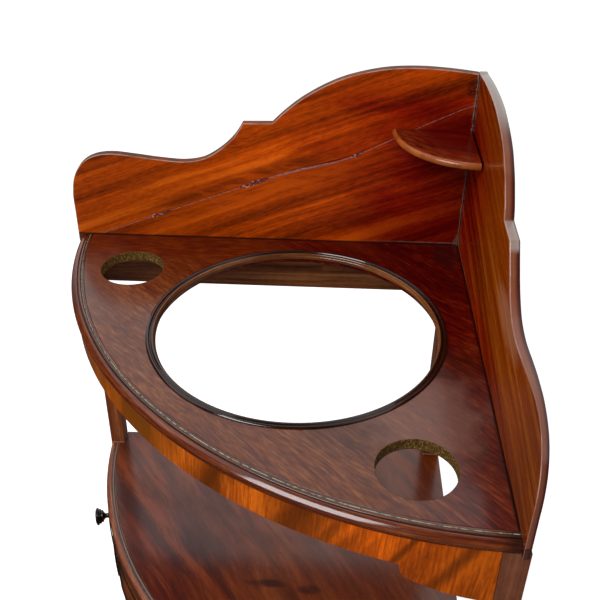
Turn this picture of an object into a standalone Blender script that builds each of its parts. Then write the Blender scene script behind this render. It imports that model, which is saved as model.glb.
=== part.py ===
"""Corner washstand with a bowed front, built the way a cabinet maker builds it.

Metres, +Z up. The back corner points to +Y and the bow faces -Y. The origin is on the floor,
below the middle of the whole object's box.

Two sets of axes carry the pieces. The wall axes start at the inner corner of the splashboards:
their X runs along the left board, their Y along the right board. The bow axes start at the outer
back corner, where the compass stood that struck the bow: their X and Y are those of the room.
"""
import math

import bmesh
import bpy
from mathutils import Vector

# Whole stand
TOP_HEIGHT = 0.850
BOW_RADIUS = 0.436
FIT_GAP = 0.0003
CUT_OVERRUN = 0.004
WELD_DISTANCE = 0.00002
BOW_STEPS = 36

# Splashboards and corner shelf
BOARD_THICK = 0.009
BOARD_OVERHANG = 0.0064
BOARD_CREST = 0.2027
CORNER_SHELF_RADIUS = 0.0835
CORNER_SHELF_THICK = 0.0075
CORNER_SHELF_HEIGHT = 0.1375
CORNER_SHELF_STEPS = 14
CORNER_SHELF_NOSE_SHARE = 0.42
BOARD_RUN_STEPS = 4
BOARD_NOSE_SHARES = (
    (1.0, 0.148), (0.9995, 0.247), (0.9905, 0.345), (0.9686, 0.424), (0.9352, 0.473),
    (0.8887, 0.491), (0.8285, 0.480), (0.7683, 0.465), (0.7079, 0.457), (0.6621, 0.473),
    (0.6312, 0.507),
)
LEFT_CUSP_SHARES = ((0.6003, 0.5585), (0.5750, 0.617), (0.5560, 0.683))
RIGHT_CUSP_SHARES = ((0.6003, 0.560), (0.572, 0.629), (0.549, 0.697))
LEFT_ARCH_SHARES = (
    (0.4841, 0.687), (0.4514, 0.756), (0.4085, 0.830), (0.3520, 0.902), (0.2962, 0.951),
    (0.2200, 0.989), (0.1436, 1.0), (0.0700, 0.993), (0.0, 0.977),
)
RIGHT_ARCH_SHARES = (
    (0.480, 0.7055), (0.4638, 0.752), (0.4407, 0.804), (0.4188, 0.8485), (0.3957, 0.883),
    (0.3669, 0.920), (0.3299, 0.950), (0.2907, 0.971), (0.2469, 0.989), (0.2053, 0.998),
    (0.1436, 1.0), (0.0700, 0.993), (0.0, 0.977),
)

# Washstand top, its basin ring and its edge moulding
TOP_THICK = 0.011
EDGE_WIDE = 0.0133
EDGE_OVERHANG = 0.0025
RING_BACK_MARGIN = 0.0287
RING_FRONT_MARGIN = 0.0194
RING_OFF_CENTRE = 0.0042
RING_WIDE = 0.0095
RING_LINING_SHARE = 0.31
RING_STEPS = 56
CUP_RADIUS = 0.0333
CUP_BACK_MARGIN = 0.0379
CUP_FRONT_MARGIN = 0.0181
CUP_STEPS = 32
EDGE_PROFILE_SHARES = (
    (0.0, 0.0), (0.17, 0.0), (0.188, -0.06), (0.21, 0.0), (0.323, 0.035), (0.436, -0.01),
    (0.48, -0.09), (0.51, -0.03), (0.60, -0.03), (0.677, -0.09), (0.838, -0.144),
    (0.905, -0.205), (0.955, -0.286), (1.0, -0.48), (0.955, -0.677), (0.905, -0.758),
    (0.80, -0.83), (0.82, -0.88), (0.82, -1.0), (0.0, -1.0),
)
RING_PROFILE_SHARES = (
    (0.10, -0.58), (0.02, -0.48), (0.0, -0.37), (0.03, -0.25), (0.10, -0.13), (0.14, -0.01),
    (0.20, 0.10), (0.30, 0.145), (0.42, 0.14), (0.53, 0.12), (0.60, 0.11), (0.66, 0.17),
    (0.74, 0.215), (0.81, 0.22), (0.90, 0.19), (0.97, 0.11), (1.0, 0.06),
)

# Apron and back rails below the top
APRON_SETBACK = 0.001
APRON_THICK = 0.013
APRON_MID_DEEP = 0.0275
APRON_RISE = 0.004
APRON_STEP = 0.006
APRON_BRACKET_DEEP = 0.060
APRON_BRACKET_LONG = 0.074
APRON_BRACKET_SHARES = ((0.02, 0.10), (0.06, 0.30), (0.16, 0.45), (0.34, 0.62), (0.52, 0.78), (1.0, 1.0))
BACK_RAIL_THICK = 0.018
BACK_RAIL_DEEP = 0.0464
TENON_LONG = 0.009
TENON_THICK = 0.006
TENON_SHOULDER = 0.009

# Legs
LEG_WIDE = 0.0214
LEG_DEEP = 0.0175
SWEEP_HEIGHT = 0.185
SWEEP_OUT = 0.046
SWEEP_TAPER = 0.003
SWEEP_STEPS = 9

# Middle tier: shelf, bow rails, fronts and bottom
TIER_DROP = 0.3135
SHELF_THICK = 0.012
SHELF_EDGE_WIDE = 0.0115
SHELF_EDGE_OVERHANG = 0.0006
BOW_RAIL_INSET = 0.0015
UPPER_RAIL_DEEP = 0.0125
DRAWER_OPENING_HIGH = 0.062
LOWER_RAIL_DEEP = 0.016
WALL_PANEL_THICK = 0.012
CASE_BOTTOM_THICK = 0.009
OPENING_HALF = 0.150
DIVIDER_THICK = 0.012
DUMMY_THICK = 0.012
BEAD_WIDE = 0.003
BEAD_PROUD = 0.0015
BEAD_INSET = 0.002
SHELF_PROFILE_SHARES = (
    (0.0, 0.0), (0.06, -0.06), (0.13, 0.01), (0.22, 0.03), (0.31, -0.07), (0.40, -0.01),
    (0.64, -0.03), (0.84, -0.12), (0.96, -0.30), (1.0, -0.52), (0.97, -0.74), (0.88, -0.88),
    (0.88, -1.0), (0.0, -1.0),
)

# Drawer
DRAWER_CLEARANCE = 0.0008
DRAWER_FRONT_THICK = 0.014
DRAWER_SIDE_THICK = 0.007
DRAWER_SIDE_HIGH = 0.050
DRAWER_BACK_THICK = 0.007
DRAWER_BOTTOM_THICK = 0.004
DRAWER_BOTTOM_RISE = 0.004
DRAWER_GROOVE_DEEP = 0.003
DRAWER_BACK_CLEARANCE = 0.006
STOP_LONG = 0.014
STOP_WIDE = 0.012
STOP_HIGH = 0.010
STOP_PLACE_SHARE = 0.55

# Knobs with their back plates and nuts
KNOB_RADIUS = 0.0112
KNOB_LONG = 0.0180
KNOB_SHANK_RADIUS = 0.0024
KNOB_SHANK_END = 0.0055
KNOB_STEPS = 22
PLATE_RADIUS = 0.0085
PLATE_THICK = 0.0016
NUT_RADIUS = 0.0060
NUT_THICK = 0.0035
NUT_STEPS = 6
KNOB_PROFILE_SHARES = (
    (0.0, 1.0), (0.30, 0.99), (0.62, 0.97), (0.86, 0.93), (1.0, 0.86), (0.96, 0.78), (0.80, 0.75),
    (0.86, 0.70), (0.84, 0.62), (0.66, 0.59), (0.71, 0.53), (0.68, 0.45), (0.50, 0.41),
    (0.30, 0.34), (0.26, 0.20), (0.34, 0.06), (0.42, 0.0),
)

# Undertier between the legs
UNDERTIER_HEIGHT = 0.215
UNDERTIER_THICK = 0.012
UNDERTIER_ARM = 0.027
UNDERTIER_HOLLOW = 0.240
UNDERTIER_STEPS = 28

# Glue blocks under the top
BLOCK_SIDE = 0.014
BLOCK_LONG = 0.040
APRON_BLOCK_ANGLES = (-22.0, 0.0, 22.0)
RAIL_BLOCK_SHARES = (0.30, 0.72)

# Colours as red, green and blue, with roughness and metallic value
BOARD_COLOUR = (0.30, 0.085, 0.022, 0.30, 0.0)
TOP_COLOUR = (0.135, 0.060, 0.045, 0.32, 0.0)
MOULDING_COLOUR = (0.050, 0.018, 0.012, 0.22, 0.0)
FLAME_COLOUR = (0.36, 0.125, 0.022, 0.24, 0.0)
LEG_COLOUR = (0.110, 0.036, 0.020, 0.30, 0.0)
INNER_COLOUR = (0.26, 0.150, 0.075, 0.70, 0.0)
KNOB_COLOUR = (0.012, 0.010, 0.009, 0.18, 0.0)
PLATE_COLOUR = (0.16, 0.095, 0.040, 0.38, 1.0)

# Sizes and places that follow from the ones above
HALF_SHARE = 0.5
SLANT = math.sqrt(HALF_SHARE)
QUARTER_TURN = math.pi / 2
WALL_TURN = math.radians(225.0)
LEG_INSIDE = LEG_WIDE - BOARD_THICK
LEG_FRONT = BOW_RADIUS - BOARD_THICK
LEG_BACK = LEG_FRONT - LEG_DEEP
LEG_TOP = TOP_HEIGHT - TOP_THICK - FIT_GAP
BOARD_REACH = LEG_FRONT + BOARD_OVERHANG
EDGE_RADIUS = BOW_RADIUS + EDGE_OVERHANG
TOP_RADIUS = EDGE_RADIUS - EDGE_WIDE
SHELF_TOP = TOP_HEIGHT - TIER_DROP
SHELF_EDGE_RADIUS = BOW_RADIUS + SHELF_EDGE_OVERHANG
SHELF_RADIUS = SHELF_EDGE_RADIUS - SHELF_EDGE_WIDE
BOW_RAIL_THICK = LEG_DEEP - BOW_RAIL_INSET
UPPER_RAIL_TOP = SHELF_TOP - SHELF_THICK - FIT_GAP
OPENING_TOP = UPPER_RAIL_TOP - UPPER_RAIL_DEEP
OPENING_BOTTOM = OPENING_TOP - DRAWER_OPENING_HIGH
CASE_FOOT = OPENING_BOTTOM - LOWER_RAIL_DEEP
OPENING_MIDDLE = (OPENING_TOP + OPENING_BOTTOM) * HALF_SHARE
DIVIDER_OUTSIDE = OPENING_HALF + DIVIDER_THICK
KNOB_TIP_RADIUS = BOW_RADIUS + PLATE_THICK + FIT_GAP + KNOB_LONG
OUTER_CORNER_Y = KNOB_TIP_RADIUS * HALF_SHARE
INNER_CORNER_Y = OUTER_CORNER_Y - BOARD_THICK / SLANT
RING_SLANT = 1 + 1 / SLANT
RING_RADIUS = (TOP_RADIUS - RING_FRONT_MARGIN - (RING_BACK_MARGIN + BOARD_THICK) / SLANT) / RING_SLANT
RING_PLACE = RING_RADIUS + RING_BACK_MARGIN
RING_CENTRE = (RING_PLACE, RING_PLACE - RING_OFF_CENTRE)
BASIN_HOLE_RADIUS = RING_RADIUS - RING_WIDE
RING_SEAT_RADIUS = BASIN_HOLE_RADIUS + RING_LINING_SHARE * RING_WIDE + FIT_GAP
CUP_ACROSS = CUP_RADIUS + CUP_BACK_MARGIN
CUP_SPOKE = TOP_RADIUS - CUP_FRONT_MARGIN - CUP_RADIUS
CUP_ALONG = math.sqrt(CUP_SPOKE ** 2 - (CUP_ACROSS + BOARD_THICK) ** 2) - BOARD_THICK


def start_scene():
    """Empty the scene and make the collections for the parts and for the cutters."""
    for thing in list(bpy.data.objects):
        bpy.data.objects.remove(thing, do_unlink=True)
    parts = bpy.data.collections.new("corner_washstand")
    cutters = bpy.data.collections.new("cutters")
    bpy.context.scene.collection.children.link(parts)
    bpy.context.scene.collection.children.link(cutters)
    return parts, cutters


PARTS, CUTTERS = start_scene()


def empty_axes(name, location, turn, parent=None):
    """An empty that carries pieces; turn is its angle about Z."""
    axes = bpy.data.objects.new(name, None)
    axes.location = location
    axes.rotation_euler = (0.0, 0.0, turn)
    axes.parent = parent
    PARTS.objects.link(axes)
    return axes


WALL_AXES = empty_axes("wall_axes", (0.0, INNER_CORNER_Y, 0.0), WALL_TURN)
BOW_AXES = empty_axes("bow_axes", (0.0, OUTER_CORNER_Y, 0.0), 0.0)
DRAWER_AXES = empty_axes("drawer_axes", (0.0, OUTER_CORNER_Y, OPENING_MIDDLE), 0.0)


def finish(name, colour):
    """A plain material for one sub-part."""
    material = bpy.data.materials.new(name + "_finish")
    material.use_nodes = True
    shader = material.node_tree.nodes["Principled BSDF"]
    red, green, blue, roughness, metallic = colour
    shader.inputs["Base Color"].default_value = (red, green, blue, 1.0)
    shader.inputs["Roughness"].default_value = roughness
    shader.inputs["Metallic"].default_value = metallic
    return material


def add_part(name, mesh, axes, colour, location=(0.0, 0.0, 0.0), rotation=(0.0, 0.0, 0.0)):
    """Put a mesh in the scene as one named sub-part on the given axes."""
    part = bpy.data.objects.new(name, mesh)
    part.location = location
    part.rotation_euler = rotation
    part.parent = axes
    mesh.materials.append(finish(name, colour))
    PARTS.objects.link(part)
    return part


def add_cutter(name, mesh, axes, location=(0.0, 0.0, 0.0), rotation=(0.0, 0.0, 0.0)):
    """Put a mesh in the scene as a cutter that is never shown."""
    cutter = bpy.data.objects.new(name, mesh)
    cutter.location = location
    cutter.rotation_euler = rotation
    cutter.parent = axes
    cutter.hide_render = True
    cutter.display_type = "WIRE"
    CUTTERS.objects.link(cutter)
    return cutter


def cut(part, cutter, operation="DIFFERENCE"):
    """Cut a part with a cutter, or keep only what lies inside it."""
    modifier = part.modifiers.new("cut_" + cutter.name, "BOOLEAN")
    modifier.operation = operation
    modifier.object = cutter


def mesh_from(name, bm):
    """Weld and orient a bmesh and turn it into a mesh."""
    bmesh.ops.remove_doubles(bm, verts=bm.verts, dist=WELD_DISTANCE)
    bmesh.ops.recalc_face_normals(bm, faces=bm.faces)
    mesh = bpy.data.meshes.new(name)
    bm.to_mesh(mesh)
    bm.free()
    return mesh


def smooth(mesh, degrees=30.0):
    """Shade a round piece smooth, apart from its sharp edges."""
    mesh.shade_smooth()
    mesh.set_sharp_from_angle(angle=math.radians(degrees))


def box_mesh(name, low, high):
    """A box between two corners."""
    size = [b - a for a, b in zip(low, high)]
    middle = Vector([(a + b) * HALF_SHARE for a, b in zip(low, high)])
    bm = bmesh.new()
    bmesh.ops.create_cube(bm, size=1.0)
    bmesh.ops.scale(bm, vec=Vector(size), verts=bm.verts)
    bmesh.ops.translate(bm, vec=middle, verts=bm.verts)
    return mesh_from(name, bm)


def slab_mesh(name, loops, thick):
    """A flat board: closed outlines in X and Y, thick along Z about its middle."""
    curve = bpy.data.curves.new(name + "_outline", "CURVE")
    curve.dimensions = "2D"
    curve.fill_mode = "BOTH"
    curve.extrude = thick * HALF_SHARE
    for loop in loops:
        spline = curve.splines.new("POLY")
        spline.points.add(len(loop) - 1)
        for point, (x, y) in zip(spline.points, loop):
            point.co = (x, y, 0.0, 1.0)
        spline.use_cyclic_u = True
    holder = bpy.data.objects.new(name + "_outline", curve)
    PARTS.objects.link(holder)
    depsgraph = bpy.context.evaluated_depsgraph_get()
    flat = bpy.data.meshes.new_from_object(holder.evaluated_get(depsgraph))
    bpy.data.objects.remove(holder)
    bm = bmesh.new()
    bm.from_mesh(flat)
    bpy.data.meshes.remove(flat)
    return mesh_from(name, bm)


def arc_points(centre, radius, first, last, steps):
    """Points along an arc, angles in radians from the X axis."""
    points = []
    for step in range(steps + 1):
        angle = first + (last - first) * step / steps
        points.append((centre[0] + radius * math.cos(angle), centre[1] + radius * math.sin(angle)))
    return points


def circle_points(centre, radius, steps):
    """Points round a whole circle."""
    return arc_points(centre, radius, 0.0, 2 * math.pi, steps)[:-1]


def smooth_run(points, steps):
    """A curve through the points: each span is a cubic that leaves along its neighbours' line."""
    run = []
    last = len(points) - 1
    for index in range(last):
        before = Vector(points[max(index - 1, 0)])
        start = Vector(points[index])
        end = Vector(points[index + 1])
        after = Vector(points[min(index + 2, last)])
        leave = (end - before) * HALF_SHARE
        arrive = (after - start) * HALF_SHARE
        for step in range(steps):
            t = step / steps
            place = start * (2 * t ** 3 - 3 * t ** 2 + 1) + leave * (t ** 3 - 2 * t ** 2 + t)
            place += end * (3 * t ** 2 - 2 * t ** 3) + arrive * (t ** 3 - t ** 2)
            run.append((place.x, place.y))
    run.append(tuple(points[last]))
    return run


def scaled(shares, width, height):
    """Shares of a width and a height as points."""
    return [(x * width, y * height) for x, y in shares]


def bow_angle(across, radius):
    """Angle from a wall, about the outer corner, of the point that lies so far across from it."""
    return math.asin(across / radius)


def wall_quarter(radius, inset):
    """Outline of a quarter disc in the wall axes, struck from the outer corner.

    Its two straight edges lie at the inset from the inner corner.
    """
    wall = bow_angle(inset + BOARD_THICK, radius)
    outer_corner = (-BOARD_THICK, -BOARD_THICK)
    bow = arc_points(outer_corner, radius, wall, QUARTER_TURN - wall, BOW_STEPS)
    return [(inset, inset)] + bow


def spun_mesh(name, profile, first, last, steps):
    """A bowed moulding: a closed profile of radius and height, spun about the outer corner.

    The angles are measured from the middle of the bow.
    """
    bm = bmesh.new()
    corners = []
    for radius, height in profile:
        corners.append(bm.verts.new((radius * math.sin(first), -radius * math.cos(first), height)))
    face = bm.faces.new(corners)
    bmesh.ops.spin(bm, geom=[face], cent=(0.0, 0.0, 0.0), axis=(0.0, 0.0, 1.0),
                   angle=last - first, steps=steps, use_duplicate=False)
    mesh = mesh_from(name, bm)
    smooth(mesh)
    return mesh


def rolled_mesh(name, loops, thick, face_radius):
    """A bowed board: its front is drawn flat, sliced upright and rolled about the outer corner.

    X of the outline is the length along the face from the middle of the bow, and Y is the height.
    """
    flat = slab_mesh(name + "_flat", loops, thick)
    bm = bmesh.new()
    bm.from_mesh(flat)
    bpy.data.meshes.remove(flat)
    slice_angle = QUARTER_TURN / BOW_STEPS
    for index in range(-BOW_STEPS, BOW_STEPS + 1):
        place = index * slice_angle * face_radius
        everything = bm.verts[:] + bm.edges[:] + bm.faces[:]
        bmesh.ops.bisect_plane(bm, geom=everything, dist=WELD_DISTANCE,
                               plane_co=(place, 0.0, 0.0), plane_no=(1.0, 0.0, 0.0))
    for vert in bm.verts:
        angle = vert.co.x / face_radius
        radius = face_radius - thick * HALF_SHARE + vert.co.z
        vert.co = (radius * math.sin(angle), -radius * math.cos(angle), vert.co.y)
    bmesh.ops.triangulate(bm, faces=[face for face in bm.faces if len(face.verts) > 3])
    mesh = mesh_from(name, bm)
    smooth(mesh)
    return mesh


def rectangle(left, right, bottom, top):
    """Outline of a rectangle."""
    return [(left, bottom), (right, bottom), (right, top), (left, top)]


def turned_part(name, profile, axes, colour, steps, location, rotation):
    """A turned piece: a profile of radius and height down its outer side, with a Screw modifier."""
    mesh = bpy.data.meshes.new(name)
    points = [(radius, 0.0, height) for radius, height in profile]
    edges = [(index, index + 1) for index in range(len(points) - 1)]
    mesh.from_pydata(points, edges, [])
    part = add_part(name, mesh, axes, colour, location, rotation)
    screw = part.modifiers.new("turning", "SCREW")
    screw.steps = steps
    screw.render_steps = steps
    screw.use_merge_vertices = True
    screw.merge_threshold = WELD_DISTANCE
    screw.use_smooth_shade = True
    return part


def leg_boxes():
    """The sections of the three legs in the wall axes: name, low and high corners in plan."""
    side = (LEG_BACK, LEG_FRONT)
    wall = (-BOARD_THICK, LEG_INSIDE)
    return {
        "left": ((side[0], wall[0]), (side[1], wall[1])),
        "right": ((wall[0], side[0]), (wall[1], side[1])),
        "back": ((wall[0], wall[0]), (wall[1], wall[1])),
    }


def make_leg_cutters():
    """Cutters that leave room for each leg, one fitting gap larger than its section."""
    cutters = {}
    for side, (low, high) in leg_boxes().items():
        start = [value - FIT_GAP for value in low] + [-CUT_OVERRUN]
        end = [value + FIT_GAP for value in high] + [LEG_TOP + FIT_GAP]
        mesh = box_mesh("leg_room_" + side, start, end)
        cutters[side] = add_cutter("leg_room_" + side, mesh, WALL_AXES)
    return cutters


LEG_CUTTERS = make_leg_cutters()


def fit_round_legs(part, sides=("left", "right", "back")):
    """Notch a piece where the legs pass through it."""
    for side in sides:
        cut(part, LEG_CUTTERS[side])


def splashboard_outline(corner, cusp_shares, arch_shares):
    """Outline of a splashboard: X from the inner corner along the wall, Y up from the top."""
    foot = -TOP_THICK
    front_shares = BOARD_NOSE_SHARES + cusp_shares
    front = smooth_run(scaled(front_shares, BOARD_REACH, BOARD_CREST), BOARD_RUN_STEPS)
    arch = smooth_run(scaled(arch_shares, BOARD_REACH, BOARD_CREST), BOARD_RUN_STEPS)
    outline = [(corner, foot), (BOARD_REACH, foot)] + front + arch
    if corner < 0.0:
        outline.append((corner, arch[-1][1]))
    else:
        outline[-1] = (corner, arch[-1][1])
    return outline


def make_splashboards():
    """The two shaped boards that stand on the rails; the right one runs past the left one."""
    middle = -BOARD_THICK * HALF_SHARE
    left_outline = splashboard_outline(FIT_GAP, LEFT_CUSP_SHARES, LEFT_ARCH_SHARES)
    right_outline = splashboard_outline(-BOARD_THICK, RIGHT_CUSP_SHARES, RIGHT_ARCH_SHARES)
    left = slab_mesh("splashboard_left", [left_outline], BOARD_THICK)
    right = slab_mesh("splashboard_right", [right_outline], BOARD_THICK)
    add_part("splashboard_left", left, WALL_AXES, BOARD_COLOUR,
             (0.0, middle, TOP_HEIGHT), (QUARTER_TURN, 0.0, 0.0))
    add_part("splashboard_right", right, WALL_AXES, BOARD_COLOUR,
             (middle, 0.0, TOP_HEIGHT), (QUARTER_TURN, 0.0, QUARTER_TURN))


def make_corner_shelf():
    """The small quarter round shelf in the corner, with a rounded nose."""
    bow = arc_points((0.0, 0.0), CORNER_SHELF_RADIUS, 0.0, QUARTER_TURN, CORNER_SHELF_STEPS)
    corner = (FIT_GAP, FIT_GAP)
    outline = [corner] + [(max(x, FIT_GAP), max(y, FIT_GAP)) for x, y in bow]
    mesh = slab_mesh("corner_shelf", [outline], CORNER_SHELF_THICK)
    bm = bmesh.new()
    bm.from_mesh(mesh)
    nose = []
    for edge in bm.edges:
        ends = [vert.co for vert in edge.verts]
        on_nose = all(math.hypot(co.x, co.y) > CORNER_SHELF_RADIUS - FIT_GAP for co in ends)
        if on_nose and abs(ends[0].z - ends[1].z) < WELD_DISTANCE:
            nose.append(edge)
    width = CORNER_SHELF_THICK * CORNER_SHELF_NOSE_SHARE
    bmesh.ops.bevel(bm, geom=nose, offset=width, segments=3, profile=HALF_SHARE, affect="EDGES")
    bm.to_mesh(mesh)
    bm.free()
    height = TOP_HEIGHT + CORNER_SHELF_HEIGHT - CORNER_SHELF_THICK * HALF_SHARE
    add_part("corner_shelf", mesh, WALL_AXES, BOARD_COLOUR, (0.0, 0.0, height))


def make_top():
    """The quarter round top with its basin hole and two cup holes."""
    basin = circle_points(RING_CENTRE, RING_SEAT_RADIUS, RING_STEPS)
    left_cup = circle_points((CUP_ALONG, CUP_ACROSS), CUP_RADIUS, CUP_STEPS)
    right_cup = circle_points((CUP_ACROSS, CUP_ALONG), CUP_RADIUS, CUP_STEPS)
    loops = [wall_quarter(TOP_RADIUS - FIT_GAP, FIT_GAP), basin, left_cup, right_cup]
    mesh = slab_mesh("washstand_top", loops, TOP_THICK)
    height = TOP_HEIGHT - TOP_THICK * HALF_SHARE
    add_part("washstand_top", mesh, WALL_AXES, TOP_COLOUR, (0.0, 0.0, height))


def make_basin_ring():
    """The reeded ring that lines the basin hole and laps over its edge, turned in one piece."""
    profile = []
    for width_share, height_share in RING_PROFILE_SHARES:
        radius = BASIN_HOLE_RADIUS + width_share * RING_WIDE
        profile.append((radius, height_share * RING_WIDE))
    lining = RING_SEAT_RADIUS - FIT_GAP
    profile += [(RING_RADIUS, FIT_GAP), (lining, FIT_GAP), (lining, profile[0][1]), profile[0]]
    turned_part("basin_ring", profile, WALL_AXES, MOULDING_COLOUR, RING_STEPS,
                (*RING_CENTRE, TOP_HEIGHT), (0.0, 0.0, 0.0))


def edge_moulding(name, shares, inner_radius, width, thick, wall_inset, height):
    """A bowed edge moulding between two walls or two legs."""
    profile = []
    for width_share, height_share in shares:
        profile.append((inner_radius + width_share * width, height_share * thick))
    reach = math.pi / 4 - bow_angle(wall_inset, inner_radius)
    mesh = spun_mesh(name, profile, -reach, reach, BOW_STEPS)
    add_part(name, mesh, BOW_AXES, MOULDING_COLOUR, (0.0, 0.0, height))


def apron_outline():
    """Front of the apron drawn flat, from the middle to both legs, with its two brackets."""
    radius = BOW_RADIUS - APRON_SETBACK
    half_long = radius * (math.pi / 4 - bow_angle(LEG_WIDE * HALF_SHARE, radius))
    bracket_start = radius * (math.pi / 4 - bow_angle(LEG_WIDE, radius)) - APRON_BRACKET_LONG
    lower = [(0.0, -APRON_MID_DEEP)]
    for share in (0.25, 0.5, 0.75, 1.0):
        lower.append((bracket_start * share, -APRON_MID_DEEP - APRON_RISE * share ** 2))
    shoulder = -APRON_MID_DEEP - APRON_RISE - APRON_STEP
    lower.append((bracket_start, shoulder))
    drop = APRON_BRACKET_DEEP + shoulder
    for long_share, deep_share in APRON_BRACKET_SHARES:
        lower.append((bracket_start + long_share * APRON_BRACKET_LONG, shoulder - deep_share * drop))
    lower.append((half_long, -APRON_BRACKET_DEEP))
    mirrored = [(-x, y) for x, y in reversed(lower[1:])]
    return mirrored + lower + [(half_long, 0.0), (-half_long, 0.0)]


def make_apron():
    """The veneered apron between the front legs."""
    radius = BOW_RADIUS - APRON_SETBACK
    mesh = rolled_mesh("bow_apron", [apron_outline()], APRON_THICK, radius)
    part = add_part("bow_apron", mesh, BOW_AXES, FLAME_COLOUR, (0.0, 0.0, LEG_TOP))
    fit_round_legs(part, ("left", "right"))


def wall_side(low, high, side):
    """Turn corners given as along, across and up into the wall axes for the left or right wall."""
    if side == "left":
        return list(low), list(high)
    return [low[1], low[0], low[2]], [high[1], high[0], high[2]]


def box_union(name, boxes, axes, colour):
    """A part made of boxes joined into one body."""
    first, *others = boxes
    part = add_part(name, box_mesh(name, *first), axes, colour)
    for number, (low, high) in enumerate(others):
        mesh = box_mesh(name + "_tongue", low, high)
        cutter = add_cutter("{}_tongue_{}".format(name, number), mesh, axes)
        cut(part, cutter, "UNION")
    return part


def make_wall_rail(name, side, across, bottom, top, colour, legs):
    """A rail or panel along one wall, tenoned into the back leg and a front leg."""
    low = [LEG_INSIDE + FIT_GAP, across[0], bottom]
    high = [LEG_BACK - FIT_GAP, across[1], top]
    middle = (across[0] + across[1]) * HALF_SHARE
    cheek = TENON_THICK * HALF_SHARE
    tongue_low = [low[0] - TENON_LONG, middle - cheek, bottom + TENON_SHOULDER]
    tongue_high = [high[0] + TENON_LONG, middle + cheek, top - TENON_SHOULDER]
    boxes = [wall_side(low, high, side), wall_side(tongue_low, tongue_high, side)]
    part = box_union(name, boxes, WALL_AXES, colour)
    room_low = [value - FIT_GAP for value in tongue_low]
    room_high = [value + FIT_GAP for value in tongue_high]
    room = box_mesh(name + "_mortise", *wall_side(room_low, room_high, side))
    mortise = add_cutter(name + "_mortise", room, WALL_AXES)
    cut(legs["back"], mortise)
    cut(legs[side], mortise)
    return part


def swept_leg_outline():
    """Side view of a front leg: X out from the inner corner, Y up, with its foot swept outwards."""
    outer = [(LEG_FRONT, LEG_TOP)]
    inner = [(LEG_BACK, LEG_TOP)]
    for step in range(SWEEP_STEPS + 1):
        share = step / SWEEP_STEPS
        height = SWEEP_HEIGHT * (1 - share)
        out = SWEEP_OUT * share ** 2
        outer.append((LEG_FRONT + out, height))
        inner.append((LEG_BACK + out + SWEEP_TAPER * share, height))
    return inner + list(reversed(outer))


def make_legs():
    """Two front legs with swept feet, which are also the posts of the upper tiers, and a back leg."""
    legs = {}
    across = LEG_INSIDE - LEG_WIDE * HALF_SHARE
    for side, turn in (("left", 0.0), ("right", QUARTER_TURN)):
        mesh = slab_mesh("leg_" + side, [swept_leg_outline()], LEG_WIDE)
        place = (0.0, across, 0.0) if side == "left" else (across, 0.0, 0.0)
        legs[side] = add_part("leg_" + side, mesh, WALL_AXES, LEG_COLOUR, place,
                              (QUARTER_TURN, 0.0, turn))
    low, high = leg_boxes()["back"]
    mesh = box_mesh("leg_back", [*low, 0.0], [*high, LEG_TOP])
    legs["back"] = add_part("leg_back", mesh, WALL_AXES, LEG_COLOUR)
    return legs


def make_rails(legs):
    """Back rails under the top and wall panels round the drawer case."""
    rail_across = (-BOARD_THICK, BACK_RAIL_THICK - BOARD_THICK)
    panel_across = (-BOARD_THICK, WALL_PANEL_THICK - BOARD_THICK)
    for side in ("left", "right"):
        make_wall_rail("upper_rail_" + side, side, rail_across, LEG_TOP - BACK_RAIL_DEEP, LEG_TOP,
                       LEG_COLOUR, legs)
        make_wall_rail("case_panel_" + side, side, panel_across, CASE_FOOT, UPPER_RAIL_TOP,
                       LEG_COLOUR, legs)


def make_middle_shelf():
    """The open shelf of the middle tier, notched round the legs."""
    mesh = slab_mesh("middle_shelf", [wall_quarter(SHELF_RADIUS - FIT_GAP, -BOARD_THICK)], SHELF_THICK)
    part = add_part("middle_shelf", mesh, WALL_AXES, TOP_COLOUR,
                    (0.0, 0.0, SHELF_TOP - SHELF_THICK * HALF_SHARE))
    fit_round_legs(part)


def make_bow_rail(name, top, deep):
    """A bowed rail between the front legs."""
    half_long = BOW_RADIUS * (math.pi / 4 - bow_angle(LEG_WIDE * HALF_SHARE, BOW_RADIUS))
    mesh = rolled_mesh(name, [rectangle(-half_long, half_long, -deep, 0.0)], BOW_RAIL_THICK, BOW_RADIUS)
    part = add_part(name, mesh, BOW_AXES, FLAME_COLOUR, (0.0, 0.0, top))
    fit_round_legs(part, ("left", "right"))


def wall_depth(x, inset):
    """Distance in front of the outer corner, at the place x, of a wall line at this inset."""
    return inset / SLANT + abs(x)


def bow_depth(x, radius):
    """Distance in front of the outer corner, at the place x, of the bow of this radius."""
    return math.sqrt(radius ** 2 - x ** 2)


def make_dividers():
    """The two uprights beside the drawer, from the bow back to the wall panels.

    They guide the drawer, and their front edges show between the fronts.
    """
    inset = WALL_PANEL_THICK + FIT_GAP
    high = DRAWER_OPENING_HIGH - 2 * FIT_GAP
    for name, sign in (("divider_left", -1), ("divider_right", 1)):
        inner = sign * OPENING_HALF
        outer = sign * DIVIDER_OUTSIDE
        outline = [
            (inner, -bow_depth(inner, BOW_RADIUS)),
            (inner, -wall_depth(inner, inset)),
            (outer, -wall_depth(outer, inset)),
            (outer, -bow_depth(outer, BOW_RADIUS)),
        ]
        mesh = slab_mesh(name, [outline], high)
        add_part(name, mesh, BOW_AXES, LEG_COLOUR, (0.0, 0.0, OPENING_MIDDLE))


def bead_loops(left, right, bottom, top):
    """A thin rectangular frame."""
    outer = rectangle(left, right, bottom, top)
    inner = rectangle(left + BEAD_WIDE, right - BEAD_WIDE, bottom + BEAD_WIDE, top - BEAD_WIDE)
    return [outer, inner]


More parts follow.
